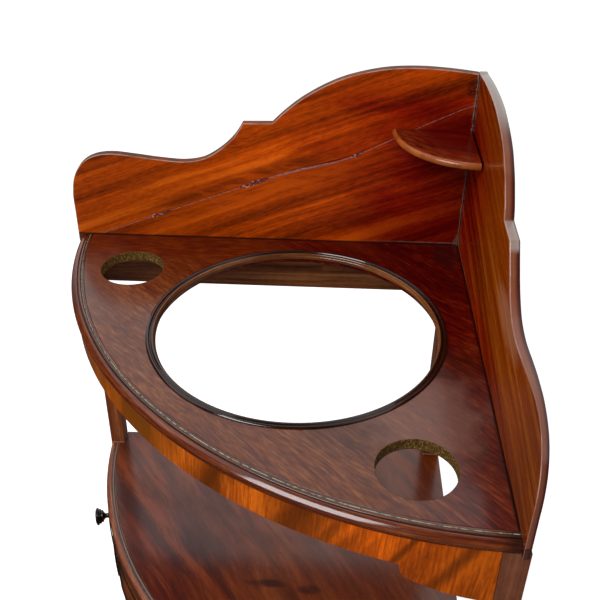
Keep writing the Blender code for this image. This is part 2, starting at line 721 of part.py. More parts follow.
def make_bead(name, axes, left, right, bottom, top, height):
    """A planted cock bead round a front, drawn flat and rolled to the bow."""
    radius = BOW_RADIUS + FIT_GAP + BEAD_PROUD
    loops = bead_loops(left, right, bottom, top)
    add_part(name, rolled_mesh(name, loops, BEAD_PROUD, radius), axes, MOULDING_COLOUR,
             (0.0, 0.0, height))


def knob_profile():
    """Profile of a knob with its shank, the face at the top and the shank's end at the bottom."""
    profile = [(r * KNOB_RADIUS, z * KNOB_LONG) for r, z in KNOB_PROFILE_SHARES]
    shank_foot = -(PLATE_THICK + DRAWER_FRONT_THICK + NUT_THICK + KNOB_SHANK_END)
    return profile + [(KNOB_SHANK_RADIUS, 0.0), (KNOB_SHANK_RADIUS, shank_foot), (0.0, shank_foot)]


def washer_profile(outer, inner, thick):
    """Closed profile of a flat ring that lies on its zero height."""
    return [(outer, thick), (outer, 0.0), (inner, 0.0), (inner, thick), (outer, thick)]


def make_knob(suffix, angle, axes, height, front, front_thick):
    """A knob with its back plate and its nut behind the front, at an angle from the bow's middle."""
    bore = KNOB_SHANK_RADIUS + FIT_GAP
    nut_bore = bore / math.cos(math.pi / NUT_STEPS)
    turn = (QUARTER_TURN, 0.0, angle)

    def place(radius):
        return (radius * math.sin(angle), -radius * math.cos(angle), height)

    plate_radius = BOW_RADIUS + FIT_GAP
    knob_radius = plate_radius + PLATE_THICK + FIT_GAP
    nut_radius = BOW_RADIUS - front_thick - NUT_THICK - FIT_GAP
    turned_part("knob_plate_" + suffix, washer_profile(PLATE_RADIUS, bore, PLATE_THICK), axes,
                PLATE_COLOUR, KNOB_STEPS, place(plate_radius), turn)
    turned_part("knob_" + suffix, knob_profile(), axes, KNOB_COLOUR, KNOB_STEPS,
                place(knob_radius), turn)
    turned_part("knob_nut_" + suffix, washer_profile(NUT_RADIUS, nut_bore, NUT_THICK),
                axes,
                PLATE_COLOUR, NUT_STEPS, place(nut_radius), turn)
    bm = bmesh.new()
    bmesh.ops.create_cone(bm, cap_ends=True, segments=KNOB_STEPS, radius1=bore, radius2=bore,
                          depth=2 * (front_thick + CUT_OVERRUN))
    drill = add_cutter("drill_" + suffix, mesh_from("drill_" + suffix, bm), axes,
                       place(BOW_RADIUS - front_thick * HALF_SHARE), turn)
    cut(front, drill)


def make_dummy_fronts():
    """The two fixed fronts beside the drawer, each with its bead and its knob."""
    high = DRAWER_OPENING_HIGH - 2 * FIT_GAP
    leg_edge = BOW_RADIUS * (math.pi / 4 - bow_angle(LEG_WIDE, BOW_RADIUS))
    leg_middle = BOW_RADIUS * (math.pi / 4 - bow_angle(LEG_WIDE * HALF_SHARE, BOW_RADIUS))
    divider_edge = BOW_RADIUS * bow_angle(DIVIDER_OUTSIDE, BOW_RADIUS)
    divider_middle = BOW_RADIUS * bow_angle(OPENING_HALF + DIVIDER_THICK * HALF_SHARE, BOW_RADIUS)
    for side, sign in (("left", -1), ("right", 1)):
        name = "dummy_front_" + side
        ends = sorted((sign * leg_middle, sign * divider_middle))
        outline = rectangle(ends[0], ends[1], -high * HALF_SHARE, high * HALF_SHARE)
        mesh = rolled_mesh(name, [outline], DUMMY_THICK, BOW_RADIUS)
        part = add_part(name, mesh, BOW_AXES, FLAME_COLOUR, (0.0, 0.0, OPENING_MIDDLE))
        fit_round_legs(part, (side,))
        walls = sorted((0.0, sign * (DIVIDER_OUTSIDE + FIT_GAP)))
        low = [walls[0], -BOW_RADIUS - CUT_OVERRUN, -high]
        room = box_mesh("divider_room_" + side, low, [walls[1], 0.0, high])
        cut(part, add_cutter("divider_room_" + side, room, BOW_AXES, (0.0, 0.0, OPENING_MIDDLE)))
        frame = sorted((sign * (leg_edge - BEAD_INSET), sign * (divider_edge + BEAD_INSET)))
        make_bead("dummy_bead_" + side, BOW_AXES, frame[0], frame[1],
                  BEAD_INSET - high * HALF_SHARE, high * HALF_SHARE - BEAD_INSET, OPENING_MIDDLE)
        angle = sign * (leg_edge + divider_edge) * HALF_SHARE / BOW_RADIUS
        make_knob(side, angle, BOW_AXES, OPENING_MIDDLE, part, DUMMY_THICK)


def make_case_bottom():
    """The bottom board of the case, which the drawer runs on."""
    radius = BOW_RADIUS - BOW_RAIL_THICK - FIT_GAP
    inset = WALL_PANEL_THICK - BOARD_THICK + FIT_GAP
    mesh = slab_mesh("case_bottom", [wall_quarter(radius, inset)], CASE_BOTTOM_THICK)
    part = add_part("case_bottom", mesh, WALL_AXES, INNER_COLOUR,
                    (0.0, 0.0, OPENING_BOTTOM - CASE_BOTTOM_THICK * HALF_SHARE))
    fit_round_legs(part)


def make_drawer():
    """The one real drawer. Its pieces ride on the drawer axes, which lie on the line it slides on."""
    half_wide = OPENING_HALF - DRAWER_CLEARANCE
    half_high = DRAWER_OPENING_HIGH * HALF_SHARE - DRAWER_CLEARANCE
    foot = FIT_GAP - DRAWER_OPENING_HIGH * HALF_SHARE
    ends = BOW_RADIUS * bow_angle(DIVIDER_OUTSIDE, BOW_RADIUS)
    outline = rectangle(-ends, ends, -half_high, half_high)
    mesh = rolled_mesh("drawer_front", [outline], DRAWER_FRONT_THICK, BOW_RADIUS)
    front = add_part("drawer_front", mesh, DRAWER_AXES, FLAME_COLOUR)
    keep_low = [-half_wide, -BOW_RADIUS - CUT_OVERRUN, -half_high - CUT_OVERRUN]
    keep = box_mesh("drawer_front_width", keep_low, [half_wide, 0.0, half_high + CUT_OVERRUN])
    cut(front, add_cutter("drawer_front_width", keep, DRAWER_AXES), "INTERSECT")
    bead_half = BOW_RADIUS * bow_angle(half_wide, BOW_RADIUS) - BEAD_INSET
    make_bead("drawer_bead", DRAWER_AXES, -bead_half, bead_half, BEAD_INSET - half_high,
              half_high - BEAD_INSET, 0.0)
    make_knob("drawer", 0.0, DRAWER_AXES, 0.0, front, DRAWER_FRONT_THICK)

    inner_radius = BOW_RADIUS - DRAWER_FRONT_THICK - FIT_GAP
    side_front = -bow_depth(half_wide, inner_radius)
    side_back = -wall_depth(half_wide, WALL_PANEL_THICK) - DRAWER_BACK_CLEARANCE
    side_inside = half_wide - DRAWER_SIDE_THICK
    floor_low = foot + DRAWER_BOTTOM_RISE
    floor_high = floor_low + DRAWER_BOTTOM_THICK
    groove_half = side_inside + DRAWER_GROOVE_DEEP
    groove = box_mesh("drawer_groove",
                      [-groove_half - FIT_GAP, side_front - CUT_OVERRUN, floor_low - FIT_GAP],
                      [groove_half + FIT_GAP, side_back + CUT_OVERRUN, floor_high + FIT_GAP])
    groove_cutter = add_cutter("drawer_groove", groove, DRAWER_AXES)
    for side, sign in (("left", -1), ("right", 1)):
        x_low, x_high = sorted((sign * side_inside, sign * half_wide))
        mesh = box_mesh("drawer_side_" + side, [x_low, side_front, foot],
                        [x_high, side_back, foot + DRAWER_SIDE_HIGH])
        part = add_part("drawer_side_" + side, mesh, DRAWER_AXES, INNER_COLOUR)
        cut(part, groove_cutter)

    back_half = side_inside - FIT_GAP
    back_low = [-back_half, side_back - DRAWER_BACK_THICK, floor_high + FIT_GAP]
    mesh = box_mesh("drawer_back", back_low, [back_half, side_back, foot + DRAWER_SIDE_HIGH])
    add_part("drawer_back", mesh, DRAWER_AXES, INNER_COLOUR)

    reach = math.asin(groove_half / inner_radius)
    bow = arc_points((0.0, 0.0), inner_radius, -QUARTER_TURN - reach, reach - QUARTER_TURN, BOW_STEPS // 2)
    outline = bow + [(groove_half, side_back), (-groove_half, side_back)]
    mesh = slab_mesh("drawer_bottom", [outline], DRAWER_BOTTOM_THICK)
    add_part("drawer_bottom", mesh, DRAWER_AXES, INNER_COLOUR,
             (0.0, 0.0, (floor_low + floor_high) * HALF_SHARE))

    stop_place = half_wide * STOP_PLACE_SHARE
    for side, sign in (("left", -1), ("right", 1)):
        middle = sign * stop_place
        low = [middle - STOP_LONG * HALF_SHARE, side_back + FIT_GAP, OPENING_BOTTOM + FIT_GAP]
        high = [middle + STOP_LONG * HALF_SHARE, low[1] + STOP_WIDE, low[2] + STOP_HIGH]
        add_part("drawer_stop_" + side, box_mesh("drawer_stop_" + side, low, high), BOW_AXES, INNER_COLOUR)


def make_undertier():
    """The shaped undertier near the floor, with a hollow front between two arms."""
    end = LEG_BACK - FIT_GAP
    arm_x = (end - UNDERTIER_ARM) * SLANT
    arm_depth = (end + UNDERTIER_ARM) * SLANT
    rise = arm_depth - UNDERTIER_HOLLOW
    radius = (arm_x ** 2 + rise ** 2) / (2 * rise)
    centre_depth = UNDERTIER_HOLLOW + radius
    spread = math.asin(arm_x / radius)
    hollow = []
    for step in range(UNDERTIER_STEPS + 1):
        angle = spread * (2 * step / UNDERTIER_STEPS - 1)
        x = radius * math.sin(angle)
        depth = centre_depth - radius * math.cos(angle)
        hollow.append(((depth - x) * SLANT, (depth + x) * SLANT))
    outline = [(-BOARD_THICK, -BOARD_THICK), (end, -BOARD_THICK)] + hollow + [(-BOARD_THICK, end)]
    mesh = slab_mesh("undertier", [outline], UNDERTIER_THICK)
    part = add_part("undertier", mesh, WALL_AXES, TOP_COLOUR,
                    (0.0, 0.0, UNDERTIER_HEIGHT - UNDERTIER_THICK * HALF_SHARE))
    fit_round_legs(part)


def make_glue_blocks():
    """Blocks that hold the top to the apron and to the back rails."""
    top = LEG_TOP
    radius = BOW_RADIUS - APRON_SETBACK - APRON_THICK - FIT_GAP
    for number, degrees in enumerate(APRON_BLOCK_ANGLES, start=1):
        sag = radius * (1 - math.cos(math.asin(BLOCK_LONG * HALF_SHARE / radius)))
        name = "apron_block_{}".format(number)
        low = [-BLOCK_LONG * HALF_SHARE, -radius + sag, top - BLOCK_SIDE]
        high = [BLOCK_LONG * HALF_SHARE, low[1] + BLOCK_SIDE, top]
        add_part(name, box_mesh(name, low, high), BOW_AXES, INNER_COLOUR, (0.0, 0.0, 0.0),
                 (0.0, 0.0, math.radians(degrees)))
    across = BACK_RAIL_THICK - BOARD_THICK + FIT_GAP
    for side in ("left", "right"):
        for number, share in enumerate(RAIL_BLOCK_SHARES, start=1):
            along = LEG_INSIDE + share * (LEG_BACK - LEG_INSIDE)
            low = [along - BLOCK_LONG * HALF_SHARE, across, top - BLOCK_SIDE]
            high = [along + BLOCK_LONG * HALF_SHARE, across + BLOCK_SIDE, top]
            name = "rail_block_{}_{}".format(side, number)
            add_part(name, box_mesh(name, *wall_side(low, high, side)), WALL_AXES, INNER_COLOUR)


make_splashboards()
make_corner_shelf()
make_top()
make_basin_ring()
edge_moulding("top_edge_moulding", EDGE_PROFILE_SHARES, TOP_RADIUS, EDGE_WIDE, TOP_THICK,
              BOARD_THICK + FIT_GAP, TOP_HEIGHT)
make_apron()
LEGS = make_legs()
make_rails(LEGS)
make_middle_shelf()
edge_moulding("shelf_edge_moulding", SHELF_PROFILE_SHARES, SHELF_RADIUS, SHELF_EDGE_WIDE, SHELF_THICK,
              LEG_WIDE + FIT_GAP, SHELF_TOP)
make_bow_rail("upper_bow_rail", UPPER_RAIL_TOP, UPPER_RAIL_DEEP - FIT_GAP)
make_bow_rail("lower_bow_rail", OPENING_BOTTOM, LOWER_RAIL_DEEP)
make_dividers()
make_dummy_fronts()
make_case_bottom()
make_drawer()
make_undertier()
make_glue_blocks()
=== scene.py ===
"""Looks of the corner washstand: finer shapes, procedural finishes, light and camera.

Metres, +Z up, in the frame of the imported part. A point on a wall piece is given as (u, v, z) from
the inner corner of the splashboards, with u along the left board and v along the right one. A point
on the bow is given as (angle from the bow's middle, radius, z) about the outer back corner.
"""
import math

import bmesh
import bpy
from mathutils import Matrix, Vector


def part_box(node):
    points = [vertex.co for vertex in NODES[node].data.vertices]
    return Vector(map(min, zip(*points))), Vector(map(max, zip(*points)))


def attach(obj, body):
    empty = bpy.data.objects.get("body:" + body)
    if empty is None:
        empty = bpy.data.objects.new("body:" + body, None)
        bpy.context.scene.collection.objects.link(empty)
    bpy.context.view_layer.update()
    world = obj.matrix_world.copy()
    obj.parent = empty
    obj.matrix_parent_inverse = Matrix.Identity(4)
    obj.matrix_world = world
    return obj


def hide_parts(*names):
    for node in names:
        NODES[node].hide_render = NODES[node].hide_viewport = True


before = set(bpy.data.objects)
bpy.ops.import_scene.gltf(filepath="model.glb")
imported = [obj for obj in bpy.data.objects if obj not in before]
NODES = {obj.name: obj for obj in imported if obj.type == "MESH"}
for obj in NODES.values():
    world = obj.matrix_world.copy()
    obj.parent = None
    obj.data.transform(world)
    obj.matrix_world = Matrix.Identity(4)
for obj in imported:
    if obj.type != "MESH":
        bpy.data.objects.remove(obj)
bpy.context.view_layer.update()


# Sizes that the part's solids have
TOP_HEIGHT = 0.85
BOW_RADIUS = 0.436
FIT_GAP = 0.0003
LEG_GAP = 0.0002
BOARD_THICK = 0.009
BOARD_REACH = 0.4334
BOARD_CREST = 0.2027
CORNER_SHELF_RADIUS = 0.0835
CORNER_SHELF_THICK = 0.0075
CORNER_SHELF_HEIGHT = 0.1375
TOP_THICK = 0.011
EDGE_RADIUS = 0.4385
TOP_RADIUS = 0.4252
TOP_EDGE_WIDE = EDGE_RADIUS - TOP_RADIUS
RING_CENTRE = (0.1747, 0.1705)
BASIN_HOLE_RADIUS = 0.1365
RING_SEAT_RADIUS = 0.13975
RING_WIDE = 0.0095
CUP_RADIUS = 0.0333
CUP_ACROSS = 0.0712
CUP_ALONG = 0.3561
APRON_RADIUS = BOW_RADIUS - 0.001
APRON_THICK = 0.013
APRON_MID_DEEP = 0.0275
APRON_RISE = 0.004
APRON_STEP = 0.006
APRON_BRACKET_DEEP = 0.06
APRON_BRACKET_LONG = 0.074
LEG_WIDE = 0.0214
LEG_INSIDE = 0.0124
LEG_FRONT = 0.427
LEG_BACK = 0.4095
LEG_TOP = 0.8387
LEG_STRAIGHT_FROM = 0.5
END_SPARE = 0.004
SWEEP_HEIGHT = 0.185
SWEEP_OUT = 0.046
SWEEP_TAPER = 0.003
SHELF_TOP = 0.5365
SHELF_THICK = 0.012
SHELF_RADIUS = 0.4251
SHELF_EDGE_RADIUS = 0.4366
SHELF_EDGE_WIDE = SHELF_EDGE_RADIUS - SHELF_RADIUS
OPENING_HALF = 0.15
DIVIDER_THICK = 0.012
CASE_RAIL_THICK = LEG_FRONT - LEG_BACK - 0.0015
BEAD_WIDE = 0.003
BEAD_PROUD = 0.0015
BEAD_INSET = 0.002
DUMMY_THICK = 0.012
DRAWER_FRONT_THICK = 0.014
DRAWER_CLEARANCE = 0.0008
KNOB_RADIUS = 0.0112
KNOB_LONG = 0.018
KNOB_SHANK_RADIUS = 0.0024
PLATE_RADIUS = 0.0085
PLATE_THICK = 0.0016
UNDERTIER_HEIGHT = 0.215
UNDERTIER_THICK = 0.012
UNDERTIER_ARM = 0.027
UNDERTIER_HOLLOW = 0.24

# The right board's front end: from where to where it gets thinner, by what share, and how round
THIN_FROM = 0.33
THIN_WHOLE = 0.41
THIN_SHARE = 0.28
THIN_ROUND = 0.003
# How far the corner shelf stops before the right board
CORNER_SHELF_GAP = 0.0015

# How far edges are rounded: of crisp pieces, of the rails and beads, and of soft pieces
CRISP = 0.0006
RAIL_ROUND = 0.0007
APRON_ROUND = 0.001
SOFT = 0.0011
RIGHT_BOARD_ROUND = 0.0013
UNDERTIER_ROUND = 0.002

SLANT = math.sqrt(0.5)
QUARTER = math.pi / 2
EIGHTH = math.pi / 4
OUTER_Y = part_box("leg_back")[1].y
INNER_Y = OUTER_Y - BOARD_THICK / SLANT


def shares(text):
    """Points written in thousandths of a width and a height."""
    numbers = [float(word) / 1000 for word in text.split()]
    return list(zip(numbers[::2], numbers[1::2]))


BOARD_NOSE = shares("""
    1000 148  999.5 247  990.5 345  968.6 424  935.2 473  888.7 491  828.5 480  768.3 465
    707.9 457  662.1 473  631.2 507""")
LEFT_CUSP = shares("600.3 558.5  575 617  556 683")
RIGHT_CUSP = shares("600.3 560  570 629  543 697")
LEFT_ARCH = shares("""
    484.1 687  451.4 756  408.5 830  352 902  296.2 951  220 989  143.6 1000  70 993  0 977""")
RIGHT_ARCH = shares("""
    471 705.5  459 752  438 804  417.5 848.5  395 883  366.9 920  329.9 950  290.7 971
    246.9 989  205.3 998  143.6 1000  70 993  0 977""")
BRACKET = shares("20 100  60 300  160 450  340 620  520 780  1000 1000")
TOP_EDGE_PROFILE = shares("""
    0 -350  0 -4  165 -4  178 -35  186 -85  196 -85  206 -30  225 4  255 24  290 33  323 35
    360 31  400 18  430 -6  452 -50  468 -100  490 -105  505 -55  525 -36  560 -27  600 -30
    640 -42  680 -62  730 -96  780 -138  830 -185  880 -236  920 -282  955 -330  980 -380
    995 -435  1000 -490  994 -550  978 -617  955 -677  932 -720  905 -758  872 -790  838 -815
    800 -832  782 -845  782 -868  800 -875  815 -885  820 -900  820 -990  810 -1000""")
SHELF_EDGE_PROFILE = shares("""
    0 -350  0 -4  80 -4  95 -40  105 -90  120 -90  135 -30  160 8  200 27  245 33  290 27
    330 8  360 -35  380 -95  405 -95  425 -45  460 -25  520 -25  600 -40  700 -68  790 -108
    870 -170  930 -245  970 -335  993 -430  1000 -510  990 -610  965 -700  930 -770  895 -815
    875 -840  875 -865  885 -880  885 -990  875 -1000""")
RING_PROFILE = shares("""
    310 -580  140 -580  100 -575  55 -540  22 -485  5 -430  0 -370  6 -310  24 -250  50 -200
    85 -165  105 -150  110 -125  118 -60  135 0  165 55  210 98  260 120  320 128  370 126
    400 118  420 107  530 41  555 32  575 36  595 58  625 105  665 145  720 175  770 190
    820 193  845 187  865 176  965 110  982 85  993 55  1000 34""")
KNOB_PROFILE = shares("""
    0 985  120 995  250 985  310 955  360 955  450 990  580 995  740 975  880 940  970 895
    1000 855  985 800  930 765  830 752  800 740  815 715  855 690  860 655  830 620  740 600
    670 585  690 555  710 520  700 475  640 445  520 420  400 375  310 320  270 250  270 170
    300 100  360 45  420 0""")
PLATE_PROFILE = shares("""
    320 620  500 600  660 550  740 600  790 860  840 1000  900 860  940 550  1000 400  1000 0""")

# Light: the room's level for diffuse light, what mirrors show of it, and how the floor glows
ROOM_LEVEL = 0.55
MIRROR_FRONT = 0.03
MIRROR_BACK = 1
MIRROR_BELOW = 0.08
FLOOR_GLOW = 0.45
WHITE = (1, 1, 1, 1)
LAMP_AIM = (0, 0, 0.85)
# Each lamp's name, distance, degrees from the front towards +X, degrees up, width, height and power
LAMPS = (("key", 2.6, 4, 46, 1.3, 1.1, 44), ("fill", 3, -60, 50, 2, 2, 12))

# The photograph's camera: its turns in radians, its place from the boards' foot, and its lens
CAMERA_YAW = 2.38995
CAMERA_PITCH = 0.59109
CAMERA_ROLL = 0.0153
CAMERA_PLACE = (0.49337, INNER_Y - 0.70436, TOP_HEIGHT + 0.4863)
LENS = 51.31

# How fine the shapes are
CURVE_STEPS = 10
BOW_SLICES = 90
BOARD_SLICE = 0.008
SPIN_STEPS = 150
RING_STEPS = 144
CUP_STEPS = 72
KNOB_STEPS = 56
SWEEP_STEPS = 28
HOLLOW_STEPS = 80
WELD = 0.00001
AXIS = 0.00005
SHARP_EDGE = math.radians(38)

# Looks: where a patch's ragged edge lies, how the middle shelf's streaks slant, how much a wood's
# roughness wanders, and how deep the relief of wood and of brass is
PATCH_EDGE = 0.92
SHELF_GRAIN_SLOPE = 0.15
ROUGH_SPREAD = 0.14
WOOD_RELIEF = 0.00005
BRASS_RELIEF = 0.00008


def srgb(red, green, blue):
    """A display colour of 0 to 255 as the linear colour that shaders take."""
    levels = [value / 255 for value in (red, green, blue)]
    return (*(level / 12.92 if level <= 0.04045 else ((level + 0.055) / 1.055) ** 2.4
              for level in levels), 1)


def wall_point(u, v, z):
    """A point given along the two walls, as a point in the room."""
    return Vector(((v - u) * SLANT, INNER_Y - (u + v) * SLANT, z))


def bow_point(angle, radius, z):
    """A point given about the outer corner, as a point in the room."""
    return Vector((radius * math.sin(angle), OUTER_Y - radius * math.cos(angle), z))


def leg_angle(radius, across=LEG_WIDE):
    """Angle from the bow's middle, on this radius, of the point this far across from a wall."""
    return EIGHTH - math.asin(across / radius)


# Meshes. Each has the attribute grain: its own frame in metres, with X along the grain, and the
# attribute wear: 1 on the rounding of an edge and 0 elsewhere.


def add_object(name, data):
    """Put an object into the scene."""
    made = bpy.data.objects.new(name, data)
    bpy.context.scene.collection.objects.link(made)
    return made


def piece(name, bm, look, stands_for, body="stand"):
    """Finish a mesh whose places are those of the room, and put it on a body."""
    bmesh.ops.recalc_face_normals(bm, faces=bm.faces)
    mesh = bpy.data.meshes.new(name)
    bm.to_mesh(mesh)
    bm.free()
    mesh.shade_smooth()
    mesh.set_sharp_from_angle(angle=SHARP_EDGE)
    mesh.materials.append(LOOK[look])
    made = add_object(name, mesh)
    weighted = made.modifiers.new("normals", "WEIGHTED_NORMAL")
    weighted.keep_sharp = True
    weighted.weight = 80
    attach(made, body)
    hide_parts(*stands_for)


def move(bm, place):
    """Send each vertex to a new place."""
    for vert in bm.verts:
        vert.co = place(vert.co)


def layers(bm):
    """Make the layers of the two attributes."""
    return bm.verts.layers.float_vector.new("grain"), bm.verts.layers.float.new("wear")


def slab(loops, thick, rounding):
    """A flat board with rounded edges: outlines in X and Y, thick along Z about its middle."""
    curve = bpy.data.curves.new("outline", "CURVE")
    curve.dimensions = "2D"
    curve.fill_mode = "BOTH"
    curve.extrude = thick / 2 - rounding
    curve.bevel_depth = rounding
    curve.bevel_resolution = 3
    curve.offset = -rounding
    for loop in loops:
        spline = curve.splines.new("POLY")
        spline.points.add(len(loop) - 1)
        for point, (x, y) in zip(spline.points, loop):
            point.co = (x, y, 0, 1)
        spline.use_cyclic_u = True
    holder = add_object("outline", curve)
    depsgraph = bpy.context.evaluated_depsgraph_get()
    flat = bpy.data.meshes.new_from_object(holder.evaluated_get(depsgraph))
    bpy.data.objects.remove(holder)
    bm = bmesh.new()
    bm.from_mesh(flat)
    bpy.data.meshes.remove(flat)
    bmesh.ops.remove_doubles(bm, verts=bm.verts, dist=WELD)
    grain, worn = layers(bm)
    for vert in bm.verts:
        vert[grain] = vert.co
        vert[worn] = float(abs(vert.co.z) < thick / 2 - rounding * 0.04)
    return bm


def cut(bm, place, normal, **options):
    """Cut a mesh along a plane."""
    everything = bm.verts[:] + bm.edges[:] + bm.faces[:]
    return bmesh.ops.bisect_plane(bm, geom=everything, dist=WELD, plane_co=place,
                                  plane_no=normal, **options)


def sliced(bm, spacing, reach):
    """Cut a mesh upright at equal places along X, so that it can be bent."""
    count = int(reach / spacing)
    for index in range(-count, count + 1):
        cut(bm, (index * spacing, 0, 0), (1, 0, 0))
    bmesh.ops.triangulate(bm, faces=[face for face in bm.faces if len(face.verts) > 4])


def rolled(loops, thick, face_radius, z, rounding):
    """A bowed board: its front is drawn flat and rolled about the outer corner."""
    bm = slab(loops, thick, rounding)
    reach = max(abs(x) for loop in loops for x, y in loop)
    sliced(bm, QUARTER * face_radius / BOW_SLICES, reach)
    move(bm, lambda c: bow_point(c.x / face_radius, face_radius - thick / 2 + c.z, z + c.y))
    return bm


def between_legs(bm):
    """Saw the ends of a bowed piece off along the inner faces of the legs."""
    for side in (-1, 1):
        face = wall_point(LEG_INSIDE + LEG_GAP, LEG_INSIDE + LEG_GAP, 0)
        sawn = cut(bm, face, Vector((side * SLANT, SLANT, 0)), clear_outer=True)
        rim = [item for item in sawn["geom_cut"] if isinstance(item, bmesh.types.BMEdge)]
        if rim:
            bmesh.ops.holes_fill(bm, edges=rim, sides=0)
    return bm


def spun(profile, first, last, steps, place):
    """A moulding: a closed profile of (radius, height) spun from one angle to another.

    Its grain frame has X along the moulding and Y across it.
    """
    bm = bmesh.new()
    grain = layers(bm)[0]
    middle = sum(radius for radius, height in profile) / len(profile)
    whole = last - first > 2 * math.pi - WELD
    rows = []
    for step in range(steps if whole else steps + 1):
        angle = first + (last - first) * step / steps
        row = [bm.verts.new(place(angle, radius, height)) for radius, height in profile]
        for vert, (radius, height) in zip(row, profile):
            vert[grain] = (angle * middle, radius, height)
        rows.append(row)
    for row, after in zip(rows, rows[1:] + ([rows[0]] if whole else [])):
        for index in range(len(profile)):
            bm.faces.new((row[index - 1], row[index], after[index], after[index - 1]))
    if not whole:
        bm.faces.new(rows[0])
        bm.faces.new(reversed(rows[-1]))
    bmesh.ops.remove_doubles(bm, verts=bm.verts, dist=WELD)
    return bm


def lathed(profile, steps, matrix):
    """A turned piece from a profile of (radius, height); the profile closes on itself."""
    return spun(profile, 0, 2 * math.pi, steps, lambda angle, radius, height: matrix @ Vector(
        (radius * math.cos(angle), radius * math.sin(angle), height)))


def arc_points(centre, radius, first, last, steps):
    """Points along an arc."""
    angles = [first + (last - first) * step / steps for step in range(steps + 1)]
    return [(centre[0] + radius * math.cos(angle), centre[1] + radius * math.sin(angle))
            for angle in angles]


def circle(centre, radius, steps):
    """Outline of a circle."""
    return arc_points(centre, radius, 0, 2 * math.pi, steps)[:-1]


def smooth_run(points, steps=CURVE_STEPS):
    """A smooth curve through the points."""
    run = []
    points = [points[0], *points, points[-1]]
    for before, start, end, after in zip(*(map(Vector, points[shift:]) for shift in range(4))):
        leave = (end - before) / 2
        arrive = (after - start) / 2
        for step in range(steps):
            t = step / steps
            place = start * (2 * t ** 3 - 3 * t ** 2 + 1) + leave * (t ** 3 - 2 * t ** 2 + t)
            place += end * (3 * t ** 2 - 2 * t ** 3) + arrive * (t ** 3 - t ** 2)
            run.append((place.x, place.y))
    return run + [tuple(points[-1])]


def scaled(points, width, height, start=0):
    """Shares of a width and a height as points."""
    return [(start + x * width, y * height) for x, y in points]


def rectangle(left, right, bottom, top):
    """Outline of a rectangle."""
    return [(left, bottom), (right, bottom), (right, top), (left, top)]


# Materials


class Value:
    """A value that differs from place to place; arithmetic adds nodes, and | is the larger."""

    def __init__(self, nodes, socket):
        self.nodes = nodes
        self.socket = socket

    def __abs__(self):
        return self.nodes.math("ABSOLUTE", self)

    def __rsub__(self, other):
        return self.nodes.math("SUBTRACT", other, self)

    def fade(self, low, high, to_low=0, to_high=1, kind="SMOOTHSTEP"):
        """Go from to_low to to_high as the value goes from low to high."""
        return self.nodes.step("MapRange", "interpolation_type", kind,
                               (self, low, high, to_low, to_high))

    def stirred(self, cloud, amount):
        """Move the value up and down with a cloud of noise."""
        return self.nodes.math("MULTIPLY_ADD", cloud - 0.5, amount, self)

    def hump(self, place, reach):
        """A bell of height 1 about a place."""
        away = (self - place) / reach
        return self.nodes.math("EXPONENT", away * away * -1)


def add_operator(method, operation):
    """Let a value take part in one step of arithmetic."""
    setattr(Value, method, lambda self, other: self.nodes.math(operation, self, other))


for method, operation in (("__add__", "ADD"), ("__sub__", "SUBTRACT"), ("__mul__", "MULTIPLY"),
                          ("__truediv__", "DIVIDE"), ("__or__", "MAXIMUM"),
                          ("__gt__", "GREATER_THAN"), ("__lt__", "LESS_THAN")):
    add_operator(method, operation)


class Nodes:
    """A node tree that is built one node at a time."""

    def __init__(self, tree):
        self.tree = tree

    def put(self, socket, value):
        """Link a value or set a number."""
        if isinstance(value, Value):
            self.tree.links.new(value.socket, socket)
        else:
            socket.default_value = value

    def node(self, kind, output=0, **values):
        """Add a node; one of its outputs comes back."""
        made = self.tree.nodes.new("ShaderNode" + kind)
        for key, value in values.items():
            self.put(made.inputs[key.replace("_", " ")], value)
        return Value(self, made.outputs[output])

    def step(self, kind, setting, choice, values, output=0):
        """Add a node with one setting and its inputs in order."""
        made = self.tree.nodes.new("ShaderNode" + kind)
        setattr(made, setting, choice)
        for socket, value in zip(made.inputs, values):
            self.put(socket, value)
        return Value(self, made.outputs[output])

    def math(self, operation, *values):
        """One step of arithmetic."""
        return self.step("Math", "operation", operation, values)

    def vector(self, operation, *values, output=0):
        """One step of vector arithmetic."""
        return self.step("VectorMath", "operation", operation, values, output)

    def point(self, x, y, z=0):
        """A vector from its three numbers."""
        return self.node("CombineXYZ", X=x, Y=y, Z=z)

    def parts(self, vector):
        """The three numbers of a vector."""
        made = self.tree.nodes.new("ShaderNodeSeparateXYZ")
        self.put(made.inputs[0], vector)
        return [Value(self, socket) for socket in made.outputs]

    def rays(self):
        """What kind of ray arrives: from the camera or through glass, and from a mirror."""
        path = self.tree.nodes.new("ShaderNodeLightPath")
        camera, through, glossy = (Value(self, path.outputs["Is %s Ray" % kind])
                                   for kind in ("Camera", "Transmission", "Glossy"))
        return camera | through, glossy

    def mix(self, share, first, second, blend="MIX"):
        """Mix two colours."""
        made = self.tree.nodes.new("ShaderNodeMix")
        made.data_type = "RGBA"
        made.blend_type = blend
        self.put(made.inputs["Factor"], share)
        self.put(made.inputs[6], first)
        self.put(made.inputs[7], second)
        return Value(self, made.outputs[2])

    def ramp(self, value, stops):
        """A colour ramp with stops of (place, display colour)."""
        made = self.tree.nodes.new("ShaderNodeValToRGB")
        elements = made.color_ramp.elements
        elements[0].position, elements[1].position = stops[0][0], stops[-1][0]
        elements[0].color, elements[1].color = srgb(*stops[0][1]), srgb(*stops[-1][1])
        for place, colour in stops[1:-1]:
            elements.new(place).color = srgb(*colour)
        self.put(made.inputs[0], value)
        return Value(self, made.outputs[0])

    def noise(self, vector, scales, detail=3, rough=0.55):
        """Noise of about 0 to 1, with a scale along each axis."""
        return self.node("TexNoise", Vector=self.vector("MULTIPLY", vector, scales), Scale=1,
                         Detail=detail, Roughness=rough, Distortion=0)


